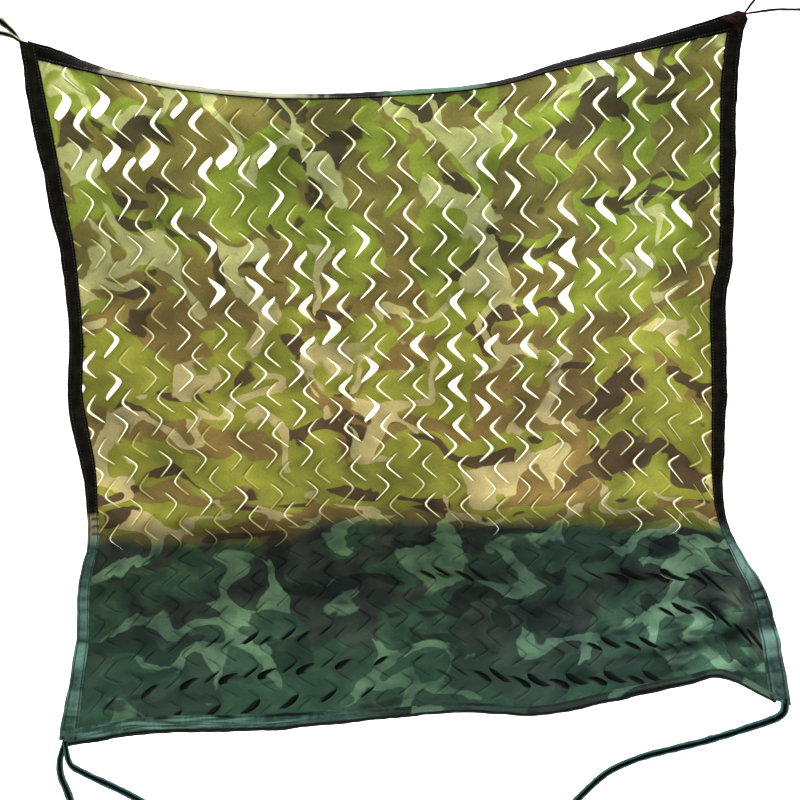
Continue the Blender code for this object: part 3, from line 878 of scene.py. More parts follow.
def cut_facts(line, cut_row):
    """Facts of the cut on this line whose point lies at this row: see the keys."""
    column = line // 2
    width, bias_sum, weight_sum = 0.0, 0.0, 0.01
    for *zone, most, bias_right, bias_left in OPENINGS:
        share = zone_share(zone, column, cut_row)
        width = max(width, most * share)
        bias_sum += share * most * (bias_left if line % 2 else bias_right)
        weight_sum += share * most
    if column < HELD_COLUMN:
        width *= read_table(HELD_CUTS, lattice_share(line / 2, cut_row)[1])
    luck = 0.5 + 0.5 * noise.cell(Vector((line + 0.5, cut_row + 0.5, 2.5)))
    tuck = clamped((cut_row - read_table(LAST_OPEN_ROW, column)) / 0.5)
    width, bias = width * with_luck(luck, LUCK_OF_WIDTH), bias_sum / (weight_sum + 2.0)
    width, bias = WIDE_CUTS.get((line, cut_row), (width, bias))
    return {
        "width": width * (1 - tuck),
        "resting": RESTING_OPENING * (1 - tuck)
        * clamped(with_luck(luck, LUCK_OF_RESTING), high=MOST_RESTING),
        "bias": bias,
        "tuck": tuck,
        "slash": tuck * slash_strength(column, cut_row) * with_luck(luck, LUCK_OF_SLASH),
        "slash_arm": -SLASH_ARM if (line % 2 == 0) == (column > SLASH_TURN_COLUMN) else SLASH_ARM,
        "tone": noise.cell(Vector((line + 0.5, cut_row + 0.5, 7.5))),
    }


def arm_share(row, cut_row):
    """How far along its arm a cut is here: -1 and 1 at its tips, 0 at its point."""
    return (row - cut_row) / (UPPER_REACH if row < cut_row else LOWER_REACH)


def profile(row, cut_row, bias):
    """How far along its opening a cut is here: 0 at its tips, 1 where it stands widest."""
    along = arm_share(row, cut_row)
    if abs(along) >= 1:
        return 0.0
    off = (along - bias) / (1 + bias if along < bias else 1 - bias)
    beyond_point = (along < bias) == (bias > 0)
    change = TAPER_PAST_POINT if beyond_point else -TAPER_TO_TIP
    return (1 - off * off) ** (TAPER + change * abs(bias))


def slash_leaf(row, cut_row, middle):
    """The same for a slash, which is a leaf on one arm of the cut."""
    off = (arm_share(row, cut_row) - middle) / SLASH_HALF
    return max(1 - off * off, 0.0) ** 0.8


def nearest_cut(line, row):
    return round(row) if line % 2 == 0 else round(row - 0.5) + 0.5


def in_cut(line, row):
    cut_row = nearest_cut(line, row)
    return cut_row - UPPER_REACH < row < cut_row + LOWER_REACH


print("a cut in the middle stands open by", round(cut_facts(17, 5.5)["width"], 1), "mm")

# %% [markdown]
# ## Curl, pucker and crumple
#
# Thin cloth is never flat. Freed lips curl: the tongue inside each chevron swings forward and the
# outer lip back. Sewing gathers the cloth along the binding, and handling leaves small crumples,
# deeper in the slack lower part. All of it is added to the depth, millimetres at most.

# %% Curl of the lips
TONGUE_CURL, OUTER_CURL = 0.55, 0.30
TONGUE_LIFT, OUTER_DROP = 2.0, 1.0
OVERLAP = 2.6
SLASH_WIDTH, SLASH_LIFT = 14.0, 6.5
# How far a lip moves in depth for each mm of overlap and of gaping: inside the chevron, outside.
TONGUE_TUCK, TONGUE_GAPE = 0.7, 0.5
OUTER_TUCK, OUTER_GAPE = 0.3, 0.25
TONGUE_SLIDE = 1.15
# A slash that gapes by this many mm is quite dark.
FULL_SLASH = 4.5
SETTLED_PITCH = 59.0
INNER_SHARE = 0.72


def lips(strip, share, row):
    """Shift in columns and in rows, depth in mm, slash, rim and tone, in the strip after a line."""
    shift, drop, back, slashed, rim, tone = 0.0, 0.0, 0.0, 0.0, 0.0, 0.0
    for line, near in ((strip, 1 - share), (strip + 1, share)):
        cut_row = nearest_cut(line, row)
        cut = cut_facts(line, cut_row)
        whole = profile(row, cut_row, 0.0)
        widest = profile(row, cut_row, cut["bias"])
        gap = max(cut["resting"] * whole**0.8, cut["width"] * widest)
        tongue = (line == strip) == (line % 2 == 1)
        away = 1 if line == strip else -1
        part = INNER_SHARE if tongue else 1 - INNER_SHARE
        shift += away * gap * part * near**1.4 / COLUMN_PITCH
        leaf = cut["slash"] * slash_leaf(row, cut_row, cut["slash_arm"])
        gaping = SLASH_WIDTH * leaf
        parted = math.copysign(SLASH_LIFT * leaf / SETTLED_PITCH, cut["slash_arm"])
        tucked = cut["tuck"] * whole**0.5
        if tongue:
            back -= (TONGUE_CURL * gap + TONGUE_LIFT * (1 - cut["tuck"]) * whole) * near * near
            back += (TONGUE_TUCK * tucked + TONGUE_GAPE * gaping) * near * near
            shift -= (OVERLAP * tucked + TONGUE_SLIDE * gaping) * away * near**2 / COLUMN_PITCH
            drop += TONGUE_SLIDE * parted * near**2
            slashed = max(slashed, min(gaping / FULL_SLASH, 1.0) * max(2 * near - 1, 0.0))
        else:
            back += (OUTER_CURL * gap + OUTER_DROP * (1 - cut["tuck"]) * whole) * near * near
            back -= (OUTER_TUCK * tucked + OUTER_GAPE * gaping) * near * near
            shift += gaping * away * near**1.4 / COLUMN_PITCH
            drop += parted * near**1.4
        # Rim: a painted highlight along a lip, next to the cut.
        rim = max(rim, near * min(1.0, 1.5 * whole**0.3) * (0.0 if near < 0.5 else 1.0))
        # Tone: painted light and shade of each tongue, lighter or darker by its cut's luck, outer
        # lips a little darker.
        tone += (cut["tone"] - (0.0 if tongue else 0.35)) * whole * near * near * (
            1.0 if tongue else 0.6)
    return shift, drop, back, slashed, rim, tone


print("beside that cut the tongue stands forward by", round(-lips(17, 0.0, 5.5)[2], 1), "mm")

# %% Crumples
# Folds radiate from the lower right corner, where the tie pulls the slack cloth.
PULLED_CORNER, RAYS_AROUND, RAY_REACH, RAY_DEPTH = (0.640, -0.945), 17, 0.17, 5.0
# Crumples: ripples per metre across and down, and depth in mm. Slack cloth has deeper ones.
LONG_CRUMPLES, SMALL_CRUMPLES, SLACKER = (13, 30, 1.7), (46, 60, 0.6), 1.9
RAY_WANDER, RAY_WANDER_SCALE = 0.25, 9


def crumple(place):
    """Depth in mm of the cloth's small crumples, deeper below the crease and at a pulled corner."""
    total = 0.0
    for (across, down, deep), shift in ((LONG_CRUMPLES, 0.3), (SMALL_CRUMPLES, 4.3)):
        total += deep * ripple(place.x * across, place.y * down, shift)
    pull = place - Vector(PULLED_CORNER)
    wander = ripple(pull.x * RAY_WANDER_SCALE, pull.y * RAY_WANDER_SCALE, 6.0)
    towards = math.atan2(pull.y, pull.x) + RAY_WANDER * wander
    rays = math.sin(towards * RAYS_AROUND) * math.exp(-((pull.length / RAY_REACH) ** 2))
    return total * (1.0 if place.y > CREASE_Z else SLACKER) + RAY_DEPTH * rays


print("depth of the crumple in the middle:", round(crumple(Vector((0.0, -0.5))), 2), "mm")

# %% Shape of the netting
CLOTH_THICKNESS = 0.9 * MM
# How much a millimetre of fold darkens its hollow side, and one of a long fold lights its ridge.
FOLD_TONE = 0.17
RIDGE_TONE, RIDGE_TONE_ABOVE = 0.15, 0.02
# Small folds above the crease take this much cloth in.
FOLD_TOP_Z, FOLDED_IN = -0.645, 0.06
# The lattice is made a little larger than the cloth and trimmed. These are its lines and rows.
LINES = range(-4, 37)
FIRST_ROW, LAST_ROW = -2, 16
# The sewn edge holds the cloth flat this far in, and gathers it into puckers that fade inwards.
HELD_REACH, PUCKER_REACH, PUCKER_DEPTH = 0.03, 0.022, 1.5


def make_netting():
    mesh = bmesh.new()
    across_steps = STRIP_STEPS * (len(LINES) - 1)
    down_steps = ROW_STEPS * (LAST_ROW - FIRST_ROW)
    bmesh.ops.create_grid(mesh, x_segments=across_steps, y_segments=down_steps, size=0.5)
    for vert in mesh.verts:
        strip_step = round((vert.co.x + 0.5) * across_steps)
        row_step = round((vert.co.y + 0.5) * down_steps)
        vert.co = (LINES[0] + strip_step / STRIP_STEPS, FIRST_ROW + row_step / ROW_STEPS, 0)

    cut_edges = []
    for edge in mesh.edges:
        start, end = (vert.co for vert in edge.verts)
        line = round(start.x)
        upright = start.x == end.x and abs(start.x - line) < 1e-6
        if upright and in_cut(line, (start.y + end.y) / 2):
            cut_edges.append(edge)
    bmesh.ops.split_edges(mesh, edges=cut_edges)

    flat = mesh.loops.layers.uv.new("flat")
    slash_layer = mesh.verts.layers.float.new("slash")
    rim_layer = mesh.verts.layers.float.new("rim")
    tone_layer = mesh.verts.layers.float.new("tone")
    strips = []
    for vert in mesh.verts:
        middle = sum(face.calc_center_median().x for face in vert.link_faces)
        middle /= len(vert.link_faces)
        strips.append(math.floor(0.9 * vert.co.x + 0.1 * middle))
    for vert, strip in zip(mesh.verts, strips):
        line_place, row = vert.co.x, vert.co.y
        share = line_place - strip
        column = line_column(line_place, row)
        across, down = lattice_share(column, row)
        height = sheet_point(clamped(across), clamped(down)).y
        folded_in = FOLDED_IN * clamped((FOLD_TOP_Z - height) / (FOLD_TOP_Z - CREASE_Z))
        for loop in vert.link_loops:
            loop[flat].uv = (across * FLAT_WIDTH, -down * FLAT_LENGTH - folded_in)
        shift, drop, back, slashed, rim, tone = lips(strip, share, row)
        vert[slash_layer], vert[rim_layer], vert[tone_layer] = slashed, rim, tone
        vert.co = (column + shift, row + drop, back * MM)
    for vert in mesh.verts:
        across, down = lattice_share(vert.co.x, vert.co.y)
        vert.co.x, vert.co.y = across, down
    trims = (((0, 0, 0), (-1, 0, 0)), ((1, 0, 0), (1, 0, 0)),
             ((0, 0, 0), (0, -1, 0)), ((0, 1, 0), (0, 1, 0)))
    for place, out in trims:
        everything = mesh.verts[:] + mesh.edges[:] + mesh.faces[:]
        bmesh.ops.bisect_plane(mesh, geom=everything, plane_co=place, plane_no=out,
                               clear_outer=True)
    for vert in mesh.verts:
        across, down, back = vert.co
        place = sheet_point(across, down)
        to_edge = min(across * FLAT_WIDTH, (1 - across) * FLAT_WIDTH, down * FLAT_LENGTH,
                      (1 - down) * FLAT_LENGTH)
        held = clamped(to_edge / HELD_REACH) ** 1.5
        along = place.x + place.y
        pucker = PUCKER_DEPTH * math.exp(-to_edge / PUCKER_REACH) * ripple(along * 75, 1.7, 9.1)
        folds = crumple(place) * held
        # The folds add painted shade on their hollows and painted light on their ridges to the tone.
        ridge_tone = RIDGE_TONE if place.y < CREASE_Z else RIDGE_TONE_ABOVE
        vert[tone_layer] += ridge_tone * fold_rise(place) - FOLD_TONE * folds
        vert.co = on_cloth(place, back * held + (folds + pucker) * MM)
    return facing(smoothed(mesh), FRONT)


netting = link_mesh("netting", make_netting(), printed_cloth)
thicken = netting.modifiers.new("cloth_thickness", "SOLIDIFY")
thicken.thickness = CLOTH_THICKNESS
thicken.offset = 0.0
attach(netting, "root")
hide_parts("net_sheet")
print("netting:", len(netting.data.vertices), "points,", len(netting.data.polygons), "faces")

# %% [markdown]
# ## Walking along an edge
#
# Binding, stitches and ties all follow a line. This helper walks a route in even steps and can go
# on straight past both ends. It gives each place with the direction of travel.

# %% Even steps
WALK_SAMPLES = 400


def walk(route, pitch, before=0.0, after=0.0):
    """Places and directions at an even pitch, with the share of the way, past the ends too."""
    samples = [route.at(index / WALK_SAMPLES) for index in range(WALK_SAMPLES + 1)]
    lengths = [0.0]
    for start, end in zip(samples, samples[1:]):
        lengths.append(lengths[-1] + (end - start).length)
    total = lengths[-1]
    count = max(2, round((total + before + after) / pitch))
    steps, cursor = [], 0
    for index in range(count + 1):
        at = -before + (total + before + after) * index / count
        inside = clamped(at, high=total)
        while cursor < WALK_SAMPLES - 1 and lengths[cursor + 1] < inside:
            cursor += 1
        step = samples[cursor + 1] - samples[cursor]
        direction = step.normalized()
        place = samples[cursor] + direction * (inside - lengths[cursor])
        steps.append((place + direction * (at - inside), direction, at / total, at))
    return steps


def sweep(rings, **painted):
    """A closed skin through rings of points, with its UV map in metres along and around.

    Each painted layer is a function of the ring and of the place round it.
    """
    around, along = len(rings[0]), len(rings) - 1
    mesh = bmesh.new()
    bmesh.ops.create_grid(mesh, x_segments=around, y_segments=along, size=0.5)
    flat = mesh.loops.layers.uv.new("flat")
    layers = {name: mesh.verts.layers.float.new(name) for name in painted}
    length_at, girth_at = [0.0], [0.0]
    for before, after in zip(rings, rings[1:]):
        length_at.append(length_at[-1] + (after[0] - before[0]).length)
    middle_ring = rings[along // 2]
    for index in range(around):
        step = middle_ring[(index + 1) % around] - middle_ring[index]
        girth_at.append(girth_at[-1] + step.length)
    for vert in mesh.verts:
        column = round((vert.co.x + 0.5) * around)
        row = round((vert.co.y + 0.5) * along)
        for loop in vert.link_loops:
            loop[flat].uv = (length_at[row], girth_at[column])
        for name, layer in layers.items():
            vert[layer] = painted[name](row, column % around)
        vert.co = rings[row][column % around]
    bmesh.ops.remove_doubles(mesh, verts=mesh.verts[:], dist=1e-6)
    open_edges = [edge for edge in mesh.edges if edge.is_boundary]
    bmesh.ops.holes_fill(mesh, edges=open_edges, sides=0)
    bmesh.ops.recalc_face_normals(mesh, faces=mesh.faces[:])
    return smoothed(mesh)


print("left edge:", round(walk(LEFT, 0.01)[-1][3], 3), "m long")

# %% [markdown]
# ## Binding and tape materials
#
# The binding is the same cloth folded to several layers, so no light comes through: in the sunlit
# part it looks nearly black, and in the shade it is blue-green, both painted. Where the upper strip
# is rolled back, its top catches the light and looks pale, painted as light. The tapes are alike,
# their folded edges pale from wear and painted highlight.

# %% Strip materials
# The plain, the worn and the lit ink, in the sun and in the shade. Thin tapes hang in one light.
THIN_TAPE_INKS = ((34, 22, 18), (56, 38, 30), (74, 52, 42))
LASHING_INKS = ((16, 9, 9), (26, 14, 14), (44, 26, 24))
PALETTES = {
    "binding_cloth": {"sun": ((12, 11, 8), (25, 22, 15), (120, 116, 88)),
                      "shade": ((38, 57, 51), (55, 79, 71), (84, 117, 104))},
    "top_binding_cloth": {"sun": ((7, 6, 5), (14, 11, 8), (100, 99, 82)),
                          "shade": ((44, 68, 62), (60, 90, 80), (92, 128, 112))},
    "tape_cloth": {"sun": ((44, 46, 30), (66, 68, 46), (168, 172, 146)),
                   "shade": ((12, 24, 23), (22, 40, 38), (58, 92, 90))},
    "thin_tape_cloth": {"sun": THIN_TAPE_INKS, "shade": THIN_TAPE_INKS},
    "lashing_cloth": {"sun": LASHING_INKS, "shade": LASHING_INKS},
}
# Painted shade goes to the groove ink. The top strip's painted light turns greener to the right.
GROOVE_INK, GREENER_TOP, GREENER_FROM_X = (5, 9, 8), (52, 74, 59), (-0.06, 0.0)
STRIP_SLUBS = ((0.88, 0.88, 0.88), (1.1, 1.1, 1.1))
STRIP_NEARER_LIGHT, STRIP_NEARER_LIGHT_X = (PLAIN, (1.30, 1.18, 1.28)), (0.35, 0.56)
WEAR_NOISE, WEAR_STEP = (60.0, 4.0), (0.40, 0.70)
# From where to where the lit ink comes in: as the attribute rises, and as the cloth faces up.
LIT_IN_SHADE, LIT_IN_SUN, FACING_UP = (0.0, 1.0), (0.4, 1.0), (0.40, 0.75)


def make_strip_cloth(name):
    """Folded cloth. Its groove attribute is painted shade in seams and hollows, and lit is painted
    light on worn and sunlit places.
    """
    material, tree, surface, place, slubs, sun = cloth_surface(
        name, roughness=0.9, bump=0.4, gloss=0.02)
    plain, worn, bright = (
        [paint(*ink) for ink in inks]
        for inks in zip(PALETTES[name]["shade"], PALETTES[name]["sun"])
    )
    wear = stepped(tree, noise_at(tree, place, *WEAR_NOISE), *WEAR_STEP)
    colour = mixed(tree, sun, *(mixed(tree, wear, *inks) for inks in zip(plain, worn)))
    lit = attribute(tree, "lit")
    lit = mixed(tree, sun, stepped(tree, lit, *LIT_IN_SHADE), stepped(tree, lit, *LIT_IN_SUN))
    lit_ink = mixed(tree, sun, *bright)
    if name == "top_binding_cloth":
        # The rolled top takes its painted light only where it faces up, greener to the right.
        normal = add_node(tree, "ShaderNodeNewGeometry").outputs["Normal"]
        lit = product(tree, lit, stepped(tree, axes(tree, normal)[2], *FACING_UP))
        greener = stepped(tree, axes(tree, object_place(tree))[0], *GREENER_FROM_X)
        lit_ink = mixed(tree, greener, lit_ink, paint(*GREENER_TOP))
    colour = mixed(tree, lit, colour, lit_ink)
    colour = mixed(tree, attribute(tree, "printed"), colour, print_at(tree, place, sun))
    colour = mixed(tree, attribute(tree, "groove"), colour, paint(*GROOVE_INK))
    colour = tinted(tree, colour, slubs, STRIP_SLUBS)
    if name == "binding_cloth":
        nearer_light = stepped(tree, axes(tree, object_place(tree))[0], *STRIP_NEARER_LIGHT_X)
        nearer_light = product(tree, nearer_light, maths(tree, "SUBTRACT", 1.0, sun))
        colour = tinted(tree, colour, nearer_light, STRIP_NEARER_LIGHT)
    plug(tree, surface.inputs["Base Color"], colour)
    return material


strip_cloths = {name: make_strip_cloth(name) for name in PALETTES}
print("made", ", ".join(strip_cloths))

# %% [markdown]
# ## The binding
#
# A strip of cloth is folded twice over the raw edge and sewn through, with a seam near its inner
# edge and a second one near the fold. We sweep that flattened section along each edge. The seams
# pull the cloth in, the fold stays soft and a little uneven, and the upper and lower strips roll
# back under their own weight between the corners.

# %% Binding strips
# How far out from the cloth's edge, in mm, and half thickness there. The two dips are the seams.
BINDING_SECTION = (
    (-3.0, 0.9), (-1.6, 1.5), (0.6, 1.8), (2.2, 1.0), (3.8, 1.9), (7.5, 2.4), (11.5, 2.6),
    (15.5, 2.4), (17.4, 1.3), (19.2, 2.1), (21.0, 1.8), (22.0, 0.9),
)
SEAMS_AT = (2.2, 17.4)
RIDGES_AT = (3.8, 19.2)
# The lower strip laps further over the cloth, as its seam allowance is turned to the front.
FLAP_SECTION = ((-12.0, 0.8), (-10.6, 1.5), (-8.0, 1.8), (-5.5, 1.2), (-2.8, 1.8))
TOP_ROLL = (
    (0.0, 5), (0.03, 25), (0.06, 46), (0.10, 58), (0.16, 62), (0.35, 62), (0.50, 60), (0.62, 64),
    (0.70, 66), (0.76, 57), (0.82, 46), (0.88, 36), (0.94, 20), (1.0, 0),
)
BOTTOM_ROLL = ((0.0, 44), (0.1, 42), (0.3, 44), (0.5, 50), (0.8, 46), (0.93, 56), (1.0, 50))
NONE_AT_ALL = ((0.0, 0), (1.0, 0))
# Where a strip is gathered, or lit by painted light: middle and half length as shares of its length,
# strength.
RIGHT_GATHERS = ((0.770, 0.014, 1.2), (0.862, 0.014, 2.4), (0.890, 0.012, 2.4), (0.02, 0.015, 1.5),
                 (0.965, 0.012, 1.8))
LEFT_GATHERS = ((0.735, 0.010, 1.6), (0.665, 0.010, 1.2), (0.868, 0.008, 1.2), (0.97, 0.012, 1.6))
LEFT_LIT = ((0.701, 0.028, 0.85), (0.822, 0.040, 0.40), (0.888, 0.017, 0.95), (0.955, 0.02, 0.5))
TOP_LIT = ((0.25, 0.17, 1.1), (0.572, 0.085, 1.0))
RIGHT_LIT = ((0.806, 0.036, 0.85), (0.862, 0.008, 0.2), (0.930, 0.022, 0.7), (0.975, 0.010, 0.3))
# The side strips aren't evenly wide: share of the length, and mm more or less than the section.
LEFT_WIDTH = (
    (0.0, 2), (0.04, 6), (0.09, 7.5), (0.13, 6.5), (0.17, 4), (0.22, 5), (0.27, 2), (0.40, 0),
    (0.48, 1), (0.53, 4), (0.58, 2), (0.62, -1), (0.66, -4), (0.74, -5), (0.78, -3), (0.86, -2.5),
    (0.93, -1), (0.96, 4), (1.0, 6),
)
RIGHT_WIDTH = (
    (0.0, 4), (0.05, 4), (0.10, 5), (0.14, 2), (0.19, 4), (0.24, 0), (0.30, -1), (0.38, 2),
    (0.44, 4), (0.55, 2), (0.62, -2), (0.66, -3), (0.70, -7), (0.76, -8), (0.82, -5), (0.86, 2),
    (0.91, 6), (0.97, 8), (1.0, 9),
)
TOP_WIDTH = ((0.0, 3), (0.05, 3), (0.12, 0), (0.88, 0), (0.95, 2), (1.0, 5))
BOTTOM_WIDTH = ((0.0, 0), (0.90, 0), (0.96, -3), (1.0, -8))
# The lower strip's seam allowance lies over the cloth at the left and is rolled under further on.
BOTTOM_LAP = ((0.0, 1.0), (0.30, 1.0), (0.46, 0.1), (1.0, 0.1))
# From how many mm out the lower strip's underside takes painted shadow, by share of its length.
UNDERSIDE_FROM = ((0.0, 8), (0.76, 8), (0.80, 4), (0.92, 4), (0.95, 8), (1.0, 8))
# Painted shade in the hollow above the lower strip: middle and half length as shares, strength.
BOTTOM_HOLLOWS = ((0.30, 0.05, 0.9), (0.12, 0.012, 0.8), (0.21, 0.015, 0.9))
CREASED_FROM = 0.70
print("gathers, left and right:", len(LEFT_GATHERS), "and", len(RIGHT_GATHERS))

# %% The four strips
STRIP_PITCH = 4 * MM
STRIP_WIDTH, LEAST_LAP = 22, 0.3
# Ripples along a strip: how many to the metre, and their strength.
UNEVEN, SMALL_UNEVEN = (26, 1.0), (90, 0.6)
# Patches of painted light, and below, how the strip leans, puffs and pinches.
PATCHES, SMALL_PATCHES = (24, 0.5), (110, 0.35)
LEANING, PUFFS, PINCHES = (20, 0.9), (55, 0.30), (160, 0.35)
# Gathers run as waves, so many radians to the metre. They wander, narrow the strip and sway it.
GATHER_WAVES, GATHER_WANDER, GATHER_NARROWS, GATHER_SWAYS = 520, 3, 0.35, 0.6
# How dark the painted shade of the seams and bars is, and of the creases, which show only above a
# level.
SEAM_SHADOW, CREASE_SHADOW, CREASE_LEVEL = 0.85, 2.4, 0.9
# A slant grows over this length before the cloth, and a taper from inside its end.
SLANT_LENGTH, TAPER_START, TAPER_LENGTH = 20 * MM, 10 * MM, 14 * MM
# A strip runs on past the cloth at both ends, before and after. Where it closes a corner, its end
# is cut along the other strip, so its outer side runs on further.
BINDINGS = {
    "binding_top": {"route": TOP, "side": 1, "roll": TOP_ROLL, "before": 22, "after": 22,
                    "proud": 0.4, "wobble": 1.6, "seed": 1.0, "lit": TOP_LIT, "wider": TOP_WIDTH},
    "binding_right": {"route": RIGHT, "side": 1, "roll": NONE_AT_ALL, "before": 24.5, "after": 8,
                      "proud": 0.0, "wobble": 1.5, "seed": 2.0, "gathers": RIGHT_GATHERS,
                      "lit": RIGHT_LIT, "wider": RIGHT_WIDTH, "slant": 0.38, "taper": 0.7,
                      "creased": 1.0},
    "binding_bottom": {"route": BOTTOM, "side": -1, "roll": BOTTOM_ROLL, "before": 22, "after": 16,
                       "proud": 0.3, "wobble": 2.4, "seed": 3.0, "flap": FLAP_SECTION,
                       "wider": BOTTOM_WIDTH, "lap": BOTTOM_LAP, "hollows": BOTTOM_HOLLOWS},
    "binding_left": {"route": LEFT, "side": -1, "roll": NONE_AT_ALL, "before": 25.5, "after": 8,
                     "proud": 0.0, "wobble": 1.2, "seed": 4.0, "gathers": LEFT_GATHERS,
                     "lit": LEFT_LIT, "wider": LEFT_WIDTH, "slant": 0.52, "creased": 0.5,
                     "barred": (0.69, 0.026)},
}
print("strips:", ", ".join(BINDINGS))

# %% How a strip lies


def strip_frame(spec, step):
    """The place, the direction out of the cloth and the roll angle at one step of an edge."""
    place, along, share, _ = step
    out = Vector((-along.y, along.x)) * spec["side"]
    return place, out, math.radians(read_table(spec["roll"], share))


def strip_place(spec, step, outwards, backwards):
    """A point of the strip, from mm out from the cloth's edge and mm towards its back."""
    place, out, roll = strip_frame(spec, step)
    if outwards < 0:
        inside = place + out * outwards * MM
        return on_cloth(inside, backwards * MM)
    turned_out = outwards * math.cos(roll) - backwards * math.sin(roll)
    turned_back = outwards * math.sin(roll) + backwards * math.cos(roll)
    aside = out * (turned_out + spec["proud"]) * MM
    return on_cloth(place, turned_back * MM) + Vector((aside.x, 0, aside.y))


def strength_at(table, share):
    return sum(most * math.exp(-(((share - middle) / half) ** 4)) for middle, half, most in table)


def along_strip(ripples, at, seed, shift):
    """The ripples of a strip at one place along it."""
    per_metre, strength = ripples
    return strength * ripple(at * per_metre, seed, shift)


def strip_state(spec, step, whole):
    """How the strip sways, is gathered, widened and lit at one step of its edge."""
    _, _, share, at = step
    seed = spec["seed"]
    gather = strength_at(spec.get("gathers", ()), share)
    uneven = along_strip(UNEVEN, at, seed, 0.5) + along_strip(SMALL_UNEVEN, at, seed, 1.5)
    patches = (max(0.0, along_strip(PATCHES, at, seed, 11.0))
               + along_strip(SMALL_PATCHES, at, seed, 12.0))
    wander = GATHER_WANDER * ripple(at * 30, seed, 7.0)
    before_start = clamped(-at / SLANT_LENGTH)
    past_end = clamped((at - whole + TAPER_START) / TAPER_LENGTH)
    return {
        "at": at,
        "wider": (spec["wobble"] * uneven - GATHER_NARROWS * gather
                  + read_table(spec["wider"], share)),
        "wave": gather * math.sin(at * GATHER_WAVES + wander),
        "slant": spec.get("slant", 0) * before_start - spec.get("taper", 0) * past_end,
        "lap": read_table(spec.get("lap", NONE_AT_ALL), share),
        "underside": read_table(UNDERSIDE_FROM, share),
        "hollow": strength_at(spec.get("hollows", ()), share),
        "barred": "barred" in spec and abs(share - spec["barred"][0]) < spec["barred"][1],
        "lit": min(1.0, strength_at(spec.get("lit", ()), share) + patches),
        "creased": spec.get("creased", 0) * clamped((share - CREASED_FROM) / 0.04),
    }


def skin_point(spec, step, state, out, half):
    """A point of the strip's skin, half a thickness behind its middle, or before it if negative."""
    at, seed = state["at"], spec["seed"]
    if out < 0:
        out *= max(state["lap"], LEAST_LAP)
    sway = (out if out > 0 else 0.8 * out) / STRIP_WIDTH
    puff = 1 + along_strip(PUFFS, at, out * 0.16, seed)
    pinch = along_strip(PINCHES, at, out * 0.3, seed + 5)
    lean = sway * (along_strip(LEANING, at, seed, 3.0) + GATHER_SWAYS * state["wave"])
    backwards = lean + half * puff + (0.5 if half > 0 else -1.0) * pinch
    run_on = Vector((step[1].x, 0, step[1].y)) * -state["slant"] * max(out, 0) * MM
    return strip_place(spec, step, out + state["wider"] * sway, backwards) + run_on


def strip_steps(spec, pitch):
    """The steps along the strip's edge, each with its state."""
    steps = walk(spec["route"], pitch, spec["before"] * MM, spec["after"] * MM)
    whole = steps[-1][3] - spec["after"] * MM
    return steps, [strip_state(spec, step, whole) for step in steps]


print("steps of the upper strip:", len(strip_steps(BINDINGS["binding_top"], STRIP_PITCH)[0]))

# %% Shape of a strip
# How dark the painted shade of the underside and of a gather is, where a hollow's painted shade ends
# and how softly the underside's begins.
UNDERSIDE_SHADOW, GATHER_SHADOW, HOLLOW_TO, UNDERSIDE_BLEND = 0.2, 0.4, -7, 3
# Bars cross every third step up to here. Creases: how many to the metre along and to the mm across.
BAR_STEPS, BARS_TO, CREASES = 3, 12, (80, 0.09)
# How much painted light lies on the ridges, the outer fold and the seam allowance, with its streaks.
RIDGE_LIT, OUTER_LIT, ALLOWANCE_LIT, STREAK_LIT, STREAKS = 0.18, 0.75, 0.25, 1.5, (22, 0.6)


def make_binding(spec):
    section = spec.get("flap", ()) + BINDING_SECTION[1 if "flap" in spec else 0:]
    steps, states = strip_steps(spec, STRIP_PITCH)
    rings = []
    for step, state in zip(steps, states):
        front = [skin_point(spec, step, state, out, -half) for out, half in section]
        back = [skin_point(spec, step, state, out, half) for out, half in section]
        rings.append(front + back[::-1])
    outs = [out for out, _ in section] + [out for out, _ in section[::-1]]
    half_count = len(section)

    # groove paints shade into seams, the underside, hollows, gathers and creases, and darkens bars.
    def groove(row, column):
        out, state = outs[column], states[row]
        seam = SEAM_SHADOW if out in SEAMS_AT else 0.0
        under = 0.0
        if "lap" in spec:
            seam *= state["lap"]
            under = clamped((out - state["underside"]) / UNDERSIDE_BLEND)
            under = max(under, state["hollow"] if out < HOLLOW_TO else 0.0)
            under = under if column < half_count else UNDERSIDE_SHADOW
        crease_at = state["at"] * CREASES[0] + out * CREASES[1]
        crease = CREASE_SHADOW * ripple(crease_at, spec["seed"], 20.0)
        crease = (crease - CREASE_LEVEL) * state["creased"]
        barred = state["barred"] and row % BAR_STEPS == 0 and out < BARS_TO
        bar = SEAM_SHADOW if barred else 0.0
        return min(1.0, max(seam, under, GATHER_SHADOW * state["wave"], crease, bar))

    # lit paints light on the seam allowance in streaks, on the ridges and on the outer fold.
    def lit(row, column):
        out, state = outs[column], states[row]
        if "lap" in spec and out < state["underside"]:
            streak = ripple(state["at"] * STREAKS[0], out * STREAKS[1], 5.0)
            return (ALLOWANCE_LIT + STREAK_LIT * streak) * state["lap"]
        ridge = RIDGE_LIT if out in RIDGES_AT else 0.0
        return state["lit"] * (OUTER_LIT if out > SEAMS_AT[1] else 1.0) + ridge

    def printed(row, column):
        return 1.0 - states[row]["lap"] if "lap" in spec else 0.0

    return sweep(rings, groove=groove, lit=lit, printed=printed)


for name, spec in BINDINGS.items():
    cloth = strip_cloths["top_binding_cloth" if name == "binding_top" else "binding_cloth"]
    strip = link_mesh(name + "_cloth", make_binding(spec), cloth)
    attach(strip, "root")
    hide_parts(name)
    print(name, len(strip.data.polygons), "faces")

# %% [markdown]
# ## Stitches
#
# Both seams of the binding are sewn by machine, about five millimetres to the stitch, and the
# thread shows on both faces. Each stitch is a small ball drawn out along the seam, sitting in the
# dip that the seam makes.

